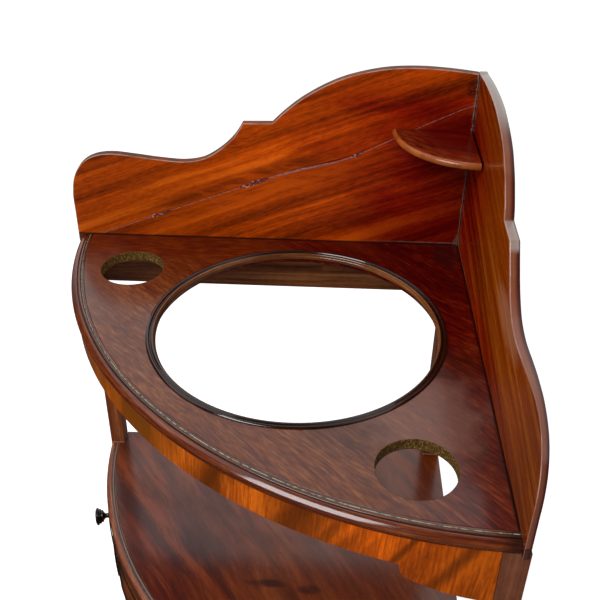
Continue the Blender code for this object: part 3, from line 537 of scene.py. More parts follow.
class Look(Nodes):
    """A material, with the colour, roughness and shine that its marks change."""

    def __init__(self, name):
        self.material = bpy.data.materials.new(name)
        self.material.use_nodes = True
        super().__init__(self.material.node_tree)
        self.colour = self.rough = self.shine = None

    def attribute(self, name, output):
        """An attribute of the mesh."""
        return self.step("Attribute", "attribute_name", name, (), output)

    def take_grain(self, turn=0, from_object=False):
        """Find the wood's own frame, from the mesh or a CAD node's place; it comes back turned."""
        where = self.node("TexCoord", "Object") if from_object else None
        self.plain = where or self.attribute("grain", "Vector")
        self.x, self.y, self.z = self.parts(self.plain)
        self.worn = self.attribute("wear", "Fac")
        return self.node("Mapping", Vector=self.plain, Rotation=(0, 0, turn))

    def cloud(self, scales, *kind):
        """Noise that lies still in the wood's frame."""
        return self.noise(self.plain, scales, *kind)

    def patch(self, x, y, centre, reach, ragged, rag, blur=0.22):
        """1 in an ellipse about a place and 0 outside it, with a ragged edge."""
        along = (x - centre[0]) / reach[0]
        across = (y - centre[1]) / reach[1]
        far = (along * along + across * across).stirred(ragged, rag)
        return far.fade(PATCH_EDGE + blur, PATCH_EDGE - blur)

    def blend(self, mask, other):
        """Lay another colour over the wood where the mask says so."""
        self.colour = self.mix(mask, self.colour, other)

    def tint(self, mask, share, shade):
        """Lay a display colour over the wood where the mask says so."""
        self.blend(mask * share, srgb(*shade))

    def times(self, factors):
        """The wood's colour times a colour that may pass 1."""
        return self.mix(1, self.colour, factors, "MULTIPLY")

    def surface(self, **values):
        """Set the shader's inputs."""
        shader = self.tree.nodes["Principled BSDF"]
        for key, value in values.items():
            self.put(shader.inputs[key.replace("_", " ")], value)
        return self.material


def wood(name, stops, turn=0, from_object=False, seed=0, bands=(2.5, 60), warp=0.002,
         weights=(0.6, 0.45, 0.25, 0.2), flecks=(120, 480), pores=0.2, pore_colour=(30, 8, 3),
         roughness=0.36, specular=0.1, coat=0.4, coat_roughness=0.07, wear_colour=None,
         wear_share=0.5, other=None, extra=None):
    """Polished wood: bands and fine lines along the grain, flecks, pores, worn edges and polish.

    weights are those of the broad bands, the narrow bands, the fine lines and the flecks.
    other is (stops, mask): a second range of colours for the same figure where mask says so.
    extra adds the piece's own marks.
    """
    look = Look(name)
    shifted = look.vector("ADD", look.take_grain(turn, from_object),
                            (seed * 1.7, seed * 2.3, seed * 0.9))
    drift = (look.noise(shifted, (9, 14, 14), 1, 0.5) - 0.5) * (warp * 4)
    place = look.vector("ADD", shifted, look.point(0, drift, drift))
    long, wide = bands
    figures = [look.noise(place, (along, across, across), detail, rough)
               for along, across, detail, rough in (
                   (long, wide, 2, 0.5), (long * 2.6, wide * 4.2, 2.5, 0.55),
                   (14, 620, 2.5, 0.6), (*flecks, 2.5, 0.55))]
    mixed = 0.5
    for figure, weight in zip(figures, weights):
        mixed = look.math("MULTIPLY_ADD", figure - 0.5, weight, mixed)
    look.colour = look.ramp(mixed, stops)
    if other:
        look.blend(other[1](look), look.ramp(mixed, other[0]))
    pore = look.noise(place, (190, 2400, 2400), 1).fade(0.57, 0.7)
    pore = pore * look.noise(shifted, (9, 40, 40), 2).fade(0.35, 0.65, 0.35, 1)
    look.tint(pore, pores, pore_colour)
    cloud = look.noise(shifted, (22, 60, 60))
    look.rough = look.math("MULTIPLY_ADD", cloud - 0.5, ROUGH_SPREAD, roughness)
    if wear_colour:
        rubbed = look.cloud((60, 60, 60)).fade(0.3, 0.7, 0.5, 1)
        look.tint(look.worn * rubbed, wear_share, wear_colour)
    if extra:
        extra(look)
    if look.shine:
        coat = look.shine * coat
    height = look.math("MULTIPLY_ADD", pore, -0.6, figures[2] * 0.5)
    normal = look.node("Bump", Strength=1, Distance=WOOD_RELIEF, Height=height)
    return look.surface(Base_Color=look.colour, Roughness=look.rough, Normal=normal,
                          Coat_Weight=coat, Coat_Roughness=coat_roughness,
                          Specular_IOR_Level=specular)


def left_red(look):
    """Where the left board turns deep red: towards the corner, and less so up in the arch."""
    cloud = look.cloud((14, 30, 14), 2)
    return look.x.stirred(cloud, 0.16).fade(0.22, 0.04) * look.y.fade(0.198, 0.16, 0.15, 1)


def split_height(x):
    """Height of the old glued split of the left board, from the corner outwards."""
    return x * -0.3926 + 0.1602 + x.hump(0.13, 0.045) * -0.0075 + x.hump(0, 0.05) * 0.0055


def arris(look, depth, reach, share, shade):
    """A thin pale line along a board's front arris: a painted highlight, partly real wear; depth is
    that from the front.
    """
    broken = look.cloud((55, 55, 0)).fade(0.35, 0.55, 0.45, 1)
    look.tint(depth.fade(reach * 1.25, reach * 0.75) * look.worn * broken, share, shade)


def joint_wax_and_shade(look):
    """Dark wax and painted shade in the joints at a board's foot and in its corner, with dry pale
    flecks.
    """
    along, up = look.x, look.y
    inside = along > -0.0004
    # Dark wax and painted shade along the foot and in the corner.
    wax_and_shade = up.fade(0.0018, 0.0002) * (up > -0.0005) | along.fade(0.0018, 0.0004) * inside * 0.7
    look.tint(wax_and_shade, 0.9, (34, 12, 9))
    flecks = look.cloud((420, 130, 0), 3, 0.65)
    dry = flecks.fade(0.48, 0.58) * along.fade(0.003, 0.0012) * inside
    look.tint(dry, up.fade(0.125, 0.15, 0.45, 0.85), (138, 122, 114))
    look.tint(look.patch(along, up, (0, 0.002), (0.0055, 0.009), flecks, 6), 0.4,
                (98, 100, 84))
    uneven = look.cloud((90, 30, 0)).fade(0.35, 0.6, 0.35, 1)
    edge = abs(up - 0.0022).fade(0.001, 0.0002) * along.fade(0.12, 0.03)
    look.tint(edge * uneven, 0.4, (140, 128, 116))
    look.rough = wax_and_shade * 0.2 + look.rough


def left_board_marks(look):
    """An old glued split runs up across the left board, with a few chips and scratches."""
    x, y, z = look.x, look.y, look.z
    back_wood = look.colour
    look.colour = look.times(
        look.mix(x.fade(0.36, 0.2), (1, 1, 1, 1), (1.42, 1.36, 1, 1)))
    # Painted shade: darker and redder towards the corner, at its foot and up to just over the
    # corner shelf.
    low = y.fade(0.075, 0.01) * x.fade(0.16, 0.06) | y.fade(0.175, 0.155) * x.fade(0.09, 0.03)
    look.tint(low, 0.45, (46, 0, 0))
    ragged = look.cloud((230, 760, 0), 3, 0.65)
    over = y - split_height(x).stirred(look.cloud((90, 0, 0)), 0.0016)
    soft = look.cloud((18, 110, 0), 2.5).fade(0.36, 0.56, 0.3, 1)
    soft = soft * x.fade(0.37, 0.31)
    for place, reach, ends, share, shade in (
            (0.0085, 0.0085, (0.12, 0.18), 0.8, (92, 30, 2)),
            (-0.014, 0.011, (0.1, 0.16), 0.62, (182, 74, 6))):
        look.tint(over.hump(place, reach) * x.fade(*ends) * soft, share, shade)
    seam = (abs(over) / (x.hump(0.176, 0.042) * 0.0011 + 0.0005)).fade(1.25, 0.6)
    filler = look.mix(ragged.fade(0.38, 0.62), srgb(112, 70, 66), srgb(168, 126, 118))
    look.blend(seam * 0.68, filler)
    look.tint(abs(over - 0.002).fade(0.0011, 0.0003) * x.hump(0.145, 0.045), 0.75, (44, 4, 4))
    glint_fleck = look.cloud((300, 420, 0), 2).fade(0.54, 0.6)
    for place, long, high in ((0.3345, 0.012, 0.002), (0.2265, 0.013, 0.003),
                              (0.241, 0.006, 0.0014), (0.1186, 0.006, 0.002)):
        chip = look.patch(x, over, (place, 0), (long, high), ragged, 3)
        look.tint(chip, 0.8, (76, 34, 36))
        # Painted glint: pale flecks inside each chip.
        chip_glint = look.patch(x, over, (place + long * 0.5, 0), (long, high * 1.1), ragged, -2)
        look.tint(chip_glint * glint_fleck, 0.55, (196, 160, 150))
    thin = look.cloud((26, 900, 0), 2).fade(0.55, 0.62)
    scratched = look.patch(x, x * 0.55 + y, (0.243, 0.2505), (0.02, 0.006), ragged, 1)
    look.tint(scratched * thin, 0.75, (70, 26, 4))
    smudge = look.patch(x, y, (0.004, 0.182), (0.008, 0.011), ragged, 3)
    look.tint(smudge * ragged.fade(0.36, 0.56), 0.7, (34, 16, 14))
    joint_wax_and_shade(look)
    # Painted shade: the board is darker below the top's surface, where its foot shows beside the
    # moulding.
    look.tint(y < 0, 0.8, (44, 30, 26))
    look.colour = look.mix(z.fade(0.002, 0), back_wood, look.colour)
    # Painted highlight along the front arris, partly real wear.
    arris(look, z + BOARD_THICK / 2, 0.0008, 0.6, (190, 160, 144))
    look.shine = look.worn * -0.7 + 1


def right_red(look):
    """Where the right board is dark red on its front: by the corner, and along its foot."""
    x, y = look.x, look.y
    cloud = look.cloud((8, 40, 8), 2)
    corner = x.stirred(cloud, 0.07).fade(0.18, 0.03) * y.fade(0.19, 0.13, 0.35, 1)
    foot = y.fade(0.045, 0.01) * x.fade(0.36, 0.2)
    return (corner | foot * 0.8) * look.z.fade(-0.004, -0.001)


def right_board_marks(look):
    """The right board's edge, grey at its crest and step as painted sheen, a dull painted glow, and
    wax with painted shade in its joints.
    """
    x, y, z = look.x, look.y, look.z
    back_wood = look.colour
    lift = look.mix(x.fade(0.34, 0.4), (1.15, 1.2, 1.3, 1), (0.82, 0.86, 0.8, 1))
    look.blend(x.fade(0.1, 0.26), look.times(lift))
    soft = look.cloud((12, 30, 0), 2)
    # Painted glow: a soft pale patch of light on the board's front near its top edge, between the
    # step and the nose.
    look.tint(look.patch(x, y, (0.274, 0.088), (0.046, 0.016), soft, 1, 0.9), 0.45,
                (158, 112, 84))
    # Painted sheen: the edge is paler at its front side, and grey at the crest and at the step,
    # over the edge's own dark red.
    edge = look.mix(z.fade(0.0012, -0.003), srgb(122, 72, 54), srgb(70, 22, 14))
    crest = x.fade(0.15, 0.1) * x.fade(-0.0085, -0.0075)
    edge = look.mix(crest, edge, srgb(150, 140, 132))
    step = x.fade(0.203, 0.208) * x.fade(0.243, 0.239)
    edge = look.mix(step, edge, srgb(150, 134, 126))
    look.blend(look.worn * 0.8, edge)
    half = CORNER_SHELF_THICK / 2
    # Painted shadow: near-black on the board at the corner shelf's level, seen through the gap at
    # the shelf's end.
    slot_shadow = (abs(y - (CORNER_SHELF_HEIGHT - half)) < half + 0.0008) * (abs(x - 0.042) < 0.0423)
    look.tint(slot_shadow, 0.95, (8, 3, 3))
    joint_wax_and_shade(look)
    behind = look.mix(look.worn, back_wood, edge)
    look.colour = look.mix(z.fade(-0.002, 0), behind, look.colour)
    # Painted shade: the board is darker below the top's surface, where its foot shows beside the
    # moulding.
    look.tint(y < 0, 0.75, (46, 24, 18))
    # Painted highlight along the front arris, strongest at the nose; partly real wear.
    share = y.hump(0.066, 0.022) * x.fade(0.4, 0.42, 0, 0.6) + x.fade(0.3, 0.36, 0.45, 0.16)
    arris(look, BOARD_THICK / 2 - z, 0.0009, share, (180, 140, 130))
    rear = z.fade(0.0022 - BOARD_THICK / 2, 0.0008 - BOARD_THICK / 2)
    look.tint(rear * x.fade(0.12, 0.17), 0.7, (54, 18, 12))
    look.shine = look.worn * 1.2 + 1


def top_red(look):
    """Where the top is deep red: along the boards, most of all in the corner."""
    x, y = look.x, look.y
    cloud = look.cloud((26, 26, 26), 2)
    side = x.stirred(cloud, 0.05).fade(0.085, 0.03)
    return look.math("SQRT", x * x + y * y).stirred(cloud, 0.1).fade(0.3, 0.17) | side * 0.8


def top_marks(look):
    """Orange by the left board, smoke, wax with painted shade in joints, cup holes worn rough
    brown.
    """
    x, y = look.x, look.y
    cloud = look.cloud((20, 50, 20), 2)
    warm = y.stirred(cloud, 0.06).fade(0.1, 0.03) * x.fade(0.16, 0.26)
    look.blend(warm, look.ramp(look.cloud((60, 400, 60), 2.5), TOP_ORANGE))
    smoke = look.cloud((30, 30, 30), 3, 0.6)
    dark, pale = (44, 14, 10), (150, 106, 90)
    for place, reach, share, rag, shade in (
            ((0.118, 0.312), (0.045, 0.035), 0.45, 5, dark),
            ((0.03, 0.3), (0.02, 0.07), 0.25, 5, dark),
            ((0.395, 0.07), (0.03, 0.07), 0.2, 5, dark),
            ((0.016, 0.03), (0.014, 0.02), 0.8, 5, dark),
            ((0.06, 0.29), (0.05, 0.06), 0.3, 4, pale),
            ((0.39, 0.11), (0.05, 0.07), 0.15, 4, pale)):
        look.tint(look.patch(x, y, place, reach, smoke, rag, 0.9), share, shade)
    scratch = abs(x * 0.9 + y - 0.446).fade(0.0009, 0.0004)
    where = look.patch(x, y, (0.04, 0.41), (0.016, 0.016), smoke, 0.5)
    look.tint(scratch * where, 0.75, (28, 10, 8))
    look.shine = (smoke - 0.5) * 0.5 + 0.95
    flat = look.point(x, y)
    speck = look.cloud((900, 900, 420), 2.5, 0.6)
    for u, v in ((CUP_ALONG, CUP_ACROSS), (CUP_ACROSS, CUP_ALONG)):
        far = look.vector("DISTANCE", flat, (u, v, 0), output="Value")
        wall = far.stirred(speck, 0.0016).fade(CUP_RADIUS + 0.0009, CUP_RADIUS + 0.0003)
        look.blend(wall, look.ramp(speck, CUP_WALL))
        look.rough = wall * 0.4 + look.rough
        look.shine = wall * -0.95 + look.shine
    # Dark wax and painted shade along both boards' foot.
    look.tint(look.math("MINIMUM", x, y).fade(0.003, 0.0008), 0.9, (14, 2, 2))


def flame_bands(look):
    """Slanting bands of a flame veneer: the slanted place along it, and the cloud of the bands."""
    slanted = look.y * -0.52 + look.x
    return slanted, look.noise(look.point(slanted, look.y, 3.7), (17, 4, 1), 2.5, 0.6)


def apron_marks(look):
    """The apron is olive at its left, and brighter with dark slanting bands at its right."""
    x = look.x
    slanted, cloud = flame_bands(look)
    lift = look.mix(x.fade(0.18, 0.23), (1.2, 1.12, 1, 1), (2.9, 2.3, 0.8, 1))
    look.colour = look.times(look.mix(x.fade(0.25, 0.31), lift, (1.8, 1.5, 0.8, 1)))
    shade = cloud.fade(0.48, 0.58) * x.fade(0.06, 0.21, 0.2, 0.6)
    soft = cloud.fade(0.32, 0.52, 0.5, 0.9)
    for place, reach in ((0.088, 0.015), (0.17, 0.019), (0.257, 0.007), (0.3, 0.014)):
        shade = shade | slanted.hump(place, reach) * soft
    look.tint(shade, 1, (78, 34, 6))
    look.tint(x.fade(0.085, 0), 0.45, (124, 70, 14))


def front_marks(look):
    """The case's fronts have fainter slanting bands."""
    look.tint(flame_bands(look)[1].fade(0.48, 0.58), 0.55, (76, 34, 6))


def shelf_red(look):
    """Where the middle shelf is darker and redder: towards its front."""
    cloud = look.cloud((7, 16, 1), 2)
    return look.y.stirred(cloud, 0.22).fade(-0.1, -0.2) * 0.55


def shelf_marks(look):
    """Smudges and streaks on the middle shelf, and polish that is thinner in places."""
    x, y = look.x, look.y
    smoke = look.cloud((16, 16, 16), 3.5, 0.6)
    along, across = (x + y) * SLANT, (y - x) * SLANT
    for place, reach, share in (((-0.0495, -0.0764), (0.02, 0.005), 0.8),
                                ((-0.005, -0.0827), (0.013, 0.006), 0.7),
                                ((-0.078, 0.05), (0.07, 0.05), 0.25),
                                ((-0.134, -0.03), (0.03, 0.02), 0.25)):
        look.tint(look.patch(along, across, place, reach, smoke, 7, 0.9), share, (26, 6, 5))
    turned = look.point(y * -SHELF_GRAIN_SLOPE + x, x * SHELF_GRAIN_SLOPE + y)
    streak = look.noise(turned, (7, 52, 0))
    look.tint(streak.fade(0.5, 0.6) * y.fade(-0.02, -0.15, 0.3, 0.85), 0.72, (36, 3, 2))
    look.tint(streak.fade(0.47, 0.38) * x.fade(0.08, -0.1, 0.35, 1), 0.36, (140, 62, 28))
    look.shine = (smoke - 0.5) * 1.1 + 1


def corner_shelf_marks(look):
    """The corner shelf is browner towards its nose."""
    back = INNER_Y - look.y
    far = look.math("SQRT", look.x * look.x + back * back)
    streak = look.cloud((60, 260, 1), 2.5)
    brown = far.fade(0.045, 0.078) * streak.fade(0.4, 0.62) * (1 - look.worn)
    look.tint(brown, 0.7, (124, 58, 20))


def leg_foot_highlight(look):
    """A pale line where a leg stands through the middle shelf: a painted highlight along the leg's
    foot.
    """
    foot = abs(look.y - (SHELF_TOP + 0.0006)).fade(0.001, 0.0005)
    look.tint(foot, 0.7, (160, 130, 96))


def top_roll(look):
    """The outer roll of the top's moulding, by its radius."""
    first, last, blur = TOP_RADIUS + 0.5 * TOP_EDGE_WIDE, TOP_RADIUS + 0.98 * TOP_EDGE_WIDE, 0.0006
    return look.y.fade(first - blur, first + blur) * look.y.fade(last + blur, last - blur)


def ring_lining(look):
    """The inner face of the ring, by its radius."""
    last = BASIN_HOLE_RADIUS + 0.0026
    return look.y.fade(last + 0.0003, last - 0.0003)


def groove_wax_shade_and_glint(look, grooves):
    """Grooves of a moulding: (radius, half width, share of dark wax and painted shade, share of
    painted glint).
    """
    glint_specks = look.cloud((240, 500, 500)).fade(0.38, 0.54, 0.25, 1)
    for radius, half, dark_share, glint_share in grooves:
        away = abs(look.y - radius)
        dark = away.fade(half * 2.4, half * 1.2)
        look.tint(dark, dark_share, (12, 6, 4))
        look.rough = dark * 0.3 + look.rough
        if glint_share:
            # Painted glint: a speckled pale line along the groove.
            look.tint(away.fade(half * 1.1, half * 0.5) * glint_specks, glint_share, (204, 200, 174))


def top_edge_marks(look):
    """The top's moulding is dark at its ends; its grooves hold dark wax with painted shade, and the
    inner one a speckled painted glint.
    """
    reach = EIGHTH * (TOP_RADIUS + EDGE_RADIUS) / 2
    look.tint(abs(look.x).fade(reach - 0.024, reach - 0.012), 0.7, (24, 14, 12))
    groove_wax_shade_and_glint(look, ((TOP_RADIUS + 0.19 * TOP_EDGE_WIDE, 0.00045, 0.9, 0.9),
                          (TOP_RADIUS + 0.478 * TOP_EDGE_WIDE, 0.0003, 0.65, 0)))


def shelf_edge_marks(look):
    """The shelf's moulding is grey between its two grooves, as painted sheen."""
    inner = SHELF_RADIUS + 0.11 * SHELF_EDGE_WIDE
    outer = SHELF_RADIUS + 0.39 * SHELF_EDGE_WIDE
    # Painted sheen: grey between the two grooves.
    grey = look.y.fade(inner, inner + 0.0006) * look.y.fade(outer, outer - 0.0006)
    look.tint(grey, 0.6, (112, 98, 90))
    groove_wax_shade_and_glint(look, ((inner, 0.0003, 0.8, 0), (outer, 0.0004, 0.8, 0.2)))


def metal(name):
    """Tarnished brass."""
    look = Look(name)
    look.take_grain()
    cloud = look.cloud((260, 260, 260))
    normal = look.node("Bump", Strength=1, Distance=BRASS_RELIEF, Height=cloud)
    return look.surface(Base_Color=look.ramp(cloud, BRASS), Metallic=0.9, Normal=normal,
                          Roughness=cloud.fade(0.3, 0.7, 0.5, 0.32))


def shades(text):
    """Stops of (place, display colour), written as percent, red, green and blue."""
    numbers = [int(word) for word in text.split()]
    return [(numbers[at] / 100, numbers[at + 1:at + 4]) for at in range(0, len(numbers), 4)]


# Colours of each wood from its dark lines to its pale ones
ORANGE = shades("30 88 28 1  42 126 45 1  54 160 60 2  70 192 86 12")
RED = shades("30 62 0 0  42 90 5 1  54 116 18 2  70 154 46 8")
OLIVE = shades("30 72 18 1  43 98 33 2  55 116 47 3  70 142 74 16")
SHELF_RED = shades("30 52 0 0  45 76 2 1  58 98 12 2  72 124 40 6")
TOP_BROWN = shades("30 66 18 2  43 84 32 6  55 100 46 12  72 128 74 36")
TOP_RED = shades("28 42 0 0  45 64 1 1  58 82 6 1  74 112 34 6")
TOP_ORANGE = shades("28 60 8 0  45 78 18 1  58 92 29 2  74 112 45 8")
SHELF_BROWN = shades("28 66 16 2  43 82 28 6  56 94 38 10  72 114 56 22")
DARK = shades("30 14 5 4  46 28 10 6  58 44 18 10  70 70 32 16")
DARK_RED = shades("30 56 16 4  46 86 31 9  58 108 49 16  70 134 72 28")
RUBBED = shades("30 64 30 10  46 92 50 20  58 116 68 30  70 150 98 52")
FLAME = shades("30 88 38 6  42 122 54 7  53 148 68 8  67 192 96 12")
LEG = shades("30 60 24 12  46 82 39 23  58 95 51 32  70 112 65 42")
# A paler copy of the leg's colours for the left leg: painted light, as that leg is more brightly
# lit.
LEG_LIT = shades("30 72 28 12  46 100 46 22  58 118 62 32  70 140 84 50")
WALL = shades("30 66 28 8  46 94 50 22  58 112 66 34  70 134 88 50")
INNER = shades("30 96 62 36  46 128 88 54  58 150 108 70  70 172 130 90")
ROLL = shades("30 74 30 14  46 112 56 34  58 138 78 52  70 164 106 76")
BLACKISH = shades("30 12 5 4  46 22 9 6  58 34 15 10  70 54 27 18")
EDGE = shades("30 50 22 12  46 74 36 22  58 90 48 32  70 110 64 44")
BLACK = shades("30 6 5 5  50 12 9 8  70 26 17 12")
CUP_WALL = shades("34 50 28 8  50 84 58 22  62 110 84 36  74 170 148 96")
BRASS = shades("35 44 30 16  55 92 68 34  75 138 108 58")

RUBBED_LEG = dict(turn=QUARTER, bands=(3, 110), roughness=0.38, specular=0.02, extra=leg_foot_highlight,
                  wear_colour=(126, 80, 58), wear_share=0.4)
RAW = dict(stops=INNER, from_object=True, bands=(4, 50), roughness=0.72, specular=0.2, coat=0,
           pores=0.5, pore_colour=(70, 42, 24))
DULL = dict(stops=WALL, from_object=True, bands=(3, 70), roughness=0.5, coat=0)
WOODS = {
    "board_left": dict(
        stops=ORANGE, turn=0.374, seed=1, bands=(2, 44), specular=0.04,
        weights=(0.76, 0.38, 0.18, 0.26), coat=0.3, other=(RED, left_red), extra=left_board_marks,
        wear_colour=(60, 44, 34), wear_share=0.95),
    "board_right": dict(
        stops=OLIVE, turn=0.2, seed=2.4, bands=(2, 75), specular=0, coat=0.35,
        weights=(0.62, 0.42, 0.15, 0.2), other=(RED, right_red), extra=right_board_marks),
    "corner_shelf": dict(
        stops=SHELF_RED, turn=-0.6, seed=3.1, bands=(4, 90), coat=1, coat_roughness=0.16,
        wear_colour=(164, 88, 34), wear_share=0.9, extra=corner_shelf_marks),
    "top": dict(
        stops=TOP_BROWN, turn=EIGHTH, seed=4.2, bands=(6, 30), warp=0.004,
        weights=(0.42, 0.45, 0.15, 0.8), flecks=(75, 420), pores=0.35, roughness=0.34, coat=1,
        coat_roughness=0.17, other=(TOP_RED, top_red), extra=top_marks),
    "middle_shelf": dict(
        stops=SHELF_BROWN, turn=0.3, from_object=True, seed=5.3, bands=(4, 30), warp=0.008,
        weights=(0.65, 0.45, 0.2, 0.25), coat=1, coat_roughness=0.17, other=(TOP_RED, shelf_red),
        extra=shelf_marks),
    "undertier": dict(
        stops=SHELF_BROWN, turn=EIGHTH, seed=6.1, bands=(4, 34), roughness=0.4, coat=0.7,
        wear_colour=(120, 72, 44), wear_share=0.35),
    "ring": dict(
        stops=BLACKISH, seed=7.7, bands=(8, 160), roughness=0.24, coat=1, pores=0.1,
        other=(RUBBED, ring_lining)),
    "top_edge": dict(
        stops=EDGE, seed=8.2, bands=(9, 190), roughness=0.24, coat=1, coat_roughness=0.11,
        other=(DARK_RED, top_roll), extra=top_edge_marks),
    "shelf_edge": dict(
        stops=ROLL, seed=8.9, bands=(9, 190), roughness=0.24, specular=0.3, coat=0.8,
        coat_roughness=0.08, extra=shelf_edge_marks),
    "bead": dict(stops=DARK, seed=9.4, bands=(9, 160), roughness=0.28, coat=0.6),
    "apron": dict(
        stops=FLAME, turn=QUARTER + 0.06, seed=10.1, bands=(5, 15), warp=0.003,
        weights=(1.15, 0.35, 0.45, 0.25), roughness=0.3, specular=0.02, coat=0.28,
        extra=apron_marks),
    "fronts": dict(
        stops=FLAME, turn=QUARTER - 0.06, seed=11.9, bands=(5, 15), warp=0.003,
        weights=(1.1, 0.25, 0.45, 0.2), roughness=0.3, specular=0.05, coat=0.35,
        extra=front_marks),
    "rail_bow": dict(stops=LEG, seed=12.4, bands=(4, 80), roughness=0.3),
    "leg": dict(RUBBED_LEG, stops=LEG, seed=13.3, coat=0.15),
    # The left leg takes the paler copy of the leg's colours: painted light.
    "leg_left": dict(RUBBED_LEG, stops=LEG_LIT, seed=21.9, coat=0.25),
    "wall_left": dict(DULL, turn=-EIGHTH, seed=14.2),
    "wall_right": dict(DULL, turn=EIGHTH, seed=14.8),
    "inner": dict(RAW, seed=15.5),
    "inner_depth": dict(RAW, turn=QUARTER, seed=16.5),
    "divider": dict(
        stops=LEG, turn=QUARTER, from_object=True, seed=17.5, bands=(4, 50), roughness=0.4,
        coat=0.2),
    "knob": dict(
        stops=BLACK, seed=18.2, bands=(60, 300), roughness=0.24, specular=0.3, coat=0.9,
        coat_roughness=0.06, pores=0.1),
}
LOOK = {name: wood(name, **settings) for name, settings in WOODS.items()}
LOOK["plate"] = metal("plate")


# The pieces


def board_outline(corner, cusp, arch_shares):
    """Outline of a splashboard from the inner corner, with its height from the top's surface."""
    front = smooth_run(scaled(BOARD_NOSE + cusp, BOARD_REACH, BOARD_CREST))
    arch = smooth_run(scaled(arch_shares, BOARD_REACH, BOARD_CREST))
    crest = (corner, arch[-1][1])
    if corner > 0:
        arch.pop()
    return [(corner, -TOP_THICK), (BOARD_REACH, -TOP_THICK)] + front + arch + [crest]


def make_boards():
    """Both splashboards, with rounded edges; the right one is thinner at its front end."""
    middle = -BOARD_THICK / 2
    left = slab([board_outline(FIT_GAP, LEFT_CUSP, LEFT_ARCH)], BOARD_THICK, SOFT)
    move(left, lambda c: wall_point(c.x, middle - c.z, TOP_HEIGHT + c.y))
    piece("board_left", left, "board_left", ["splashboard_left"])
    right = slab([board_outline(-BOARD_THICK, RIGHT_CUSP, RIGHT_ARCH)], BOARD_THICK,
                 RIGHT_BOARD_ROUND)

    def eased(place):
        share = min(max((place.x - THIN_FROM) / (THIN_WHOLE - THIN_FROM), 0), 1)
        share *= share * (3 - 2 * share)
        back = BOARD_THICK / 2 - place.z
        depth = middle + place.z + back * share * THIN_SHARE
        inwards = share * back / BOARD_THICK * THIN_ROUND
        return wall_point(depth, place.x - inwards, TOP_HEIGHT + place.y - inwards * 0.5)

    sliced(right, BOARD_SLICE, BOARD_REACH)
    move(right, eased)
    piece("board_right", right, "board_right", ["splashboard_right"])


def make_corner_shelf():
    """The corner shelf with its full round nose."""
    half = CORNER_SHELF_THICK / 2
    nose = arc_points((CORNER_SHELF_RADIUS - half, 0), half, -QUARTER, QUARTER, 12)
    profile = [(0.0012, -half)] + nose + [(0.0012, half)]
    height = TOP_HEIGHT + CORNER_SHELF_HEIGHT - half
    inset = FIT_GAP / CORNER_SHELF_RADIUS
    bm = spun(profile, inset, QUARTER - inset, 40, lambda angle, radius, level: wall_point(
        max(radius * math.cos(angle), CORNER_SHELF_GAP), max(radius * math.sin(angle), FIT_GAP),
        height + level))
    grain = bm.verts.layers.float_vector["grain"]
    worn = bm.verts.layers.float["wear"]
    for vert in bm.verts:
        vert[worn] = float(vert[grain].y > CORNER_SHELF_RADIUS - half * 0.9)
        vert[grain] = vert.co
    piece("shelf_corner", bm, "corner_shelf", ["corner_shelf"])


def make_top():
    """The pierced top."""
    radius = TOP_RADIUS - FIT_GAP
    wall = math.asin((FIT_GAP + BOARD_THICK) / radius)
    edge = arc_points((-BOARD_THICK, -BOARD_THICK), radius, wall, QUARTER - wall, BOW_SLICES)
    loops = [
        [(FIT_GAP, FIT_GAP)] + edge,
        circle(RING_CENTRE, RING_SEAT_RADIUS, RING_STEPS),
        circle((CUP_ALONG, CUP_ACROSS), CUP_RADIUS, CUP_STEPS),
        circle((CUP_ACROSS, CUP_ALONG), CUP_RADIUS, CUP_STEPS),
    ]
    bm = slab(loops, TOP_THICK, CRISP)
    move(bm, lambda c: wall_point(c.x, c.y, TOP_HEIGHT - TOP_THICK / 2 + c.z))
    piece("top_board", bm, "top", ["washstand_top"])


def make_ring():
    """The reeded ring that lines the basin hole and laps over its edge."""
    profile = scaled(RING_PROFILE, RING_WIDE, RING_WIDE, BASIN_HOLE_RADIUS)
    profile += [(BASIN_HOLE_RADIUS + RING_WIDE, 0), (RING_SEAT_RADIUS - FIT_GAP, 0)]
    bm = lathed(profile, RING_STEPS, Matrix.Translation(wall_point(*RING_CENTRE, TOP_HEIGHT)))
    piece("ring_moulding", bm, "ring", ["basin_ring"])


def make_edge(name, profile, inner, outer, thick, across, height):
    """The moulded edge of the top or of the middle shelf."""
    profile = scaled(profile, outer - inner, thick, inner) + [(inner, -thick)]
    reach = leg_angle(outer, across)
    bm = spun(profile, -reach, reach, SPIN_STEPS,
              lambda angle, radius, level: bow_point(angle, radius, height + level))
    piece(name, bm, name, [name + "_moulding"])


def make_apron():
    """The veneered apron, drawn flat between the legs, with its two brackets."""
    half_long = APRON_RADIUS * leg_angle(APRON_RADIUS - APRON_THICK) + END_SPARE
    start = APRON_RADIUS * leg_angle(APRON_RADIUS) - APRON_BRACKET_LONG
    lower = [(start * step / 8, -APRON_MID_DEEP - APRON_RISE * (step / 8) ** 2)
             for step in range(1, 9)]
    shoulder = -APRON_MID_DEEP - APRON_RISE - APRON_STEP
    lower.append((start + 0.0006, shoulder * 0.62 - (APRON_MID_DEEP + APRON_RISE) * 0.38))
    drop = APRON_BRACKET_DEEP + shoulder
    bracket = [(start + 0.0012, shoulder)]
    bracket += [(start + x, shoulder - y) for x, y in scaled(BRACKET, APRON_BRACKET_LONG, drop)]
    lower += [point for point in smooth_run(bracket, 5) if point[0] < half_long - 0.001]
    lower.append((half_long, -APRON_BRACKET_DEEP))
    mirrored = [(-x, y) for x, y in reversed(lower)]
    outline = mirrored + [(0, -APRON_MID_DEEP)] + lower + [(half_long, 0), (-half_long, 0)]
    bm = between_legs(rolled([outline], APRON_THICK, APRON_RADIUS, LEG_TOP, APRON_ROUND))
    piece("apron", bm, "apron", ["bow_apron"])


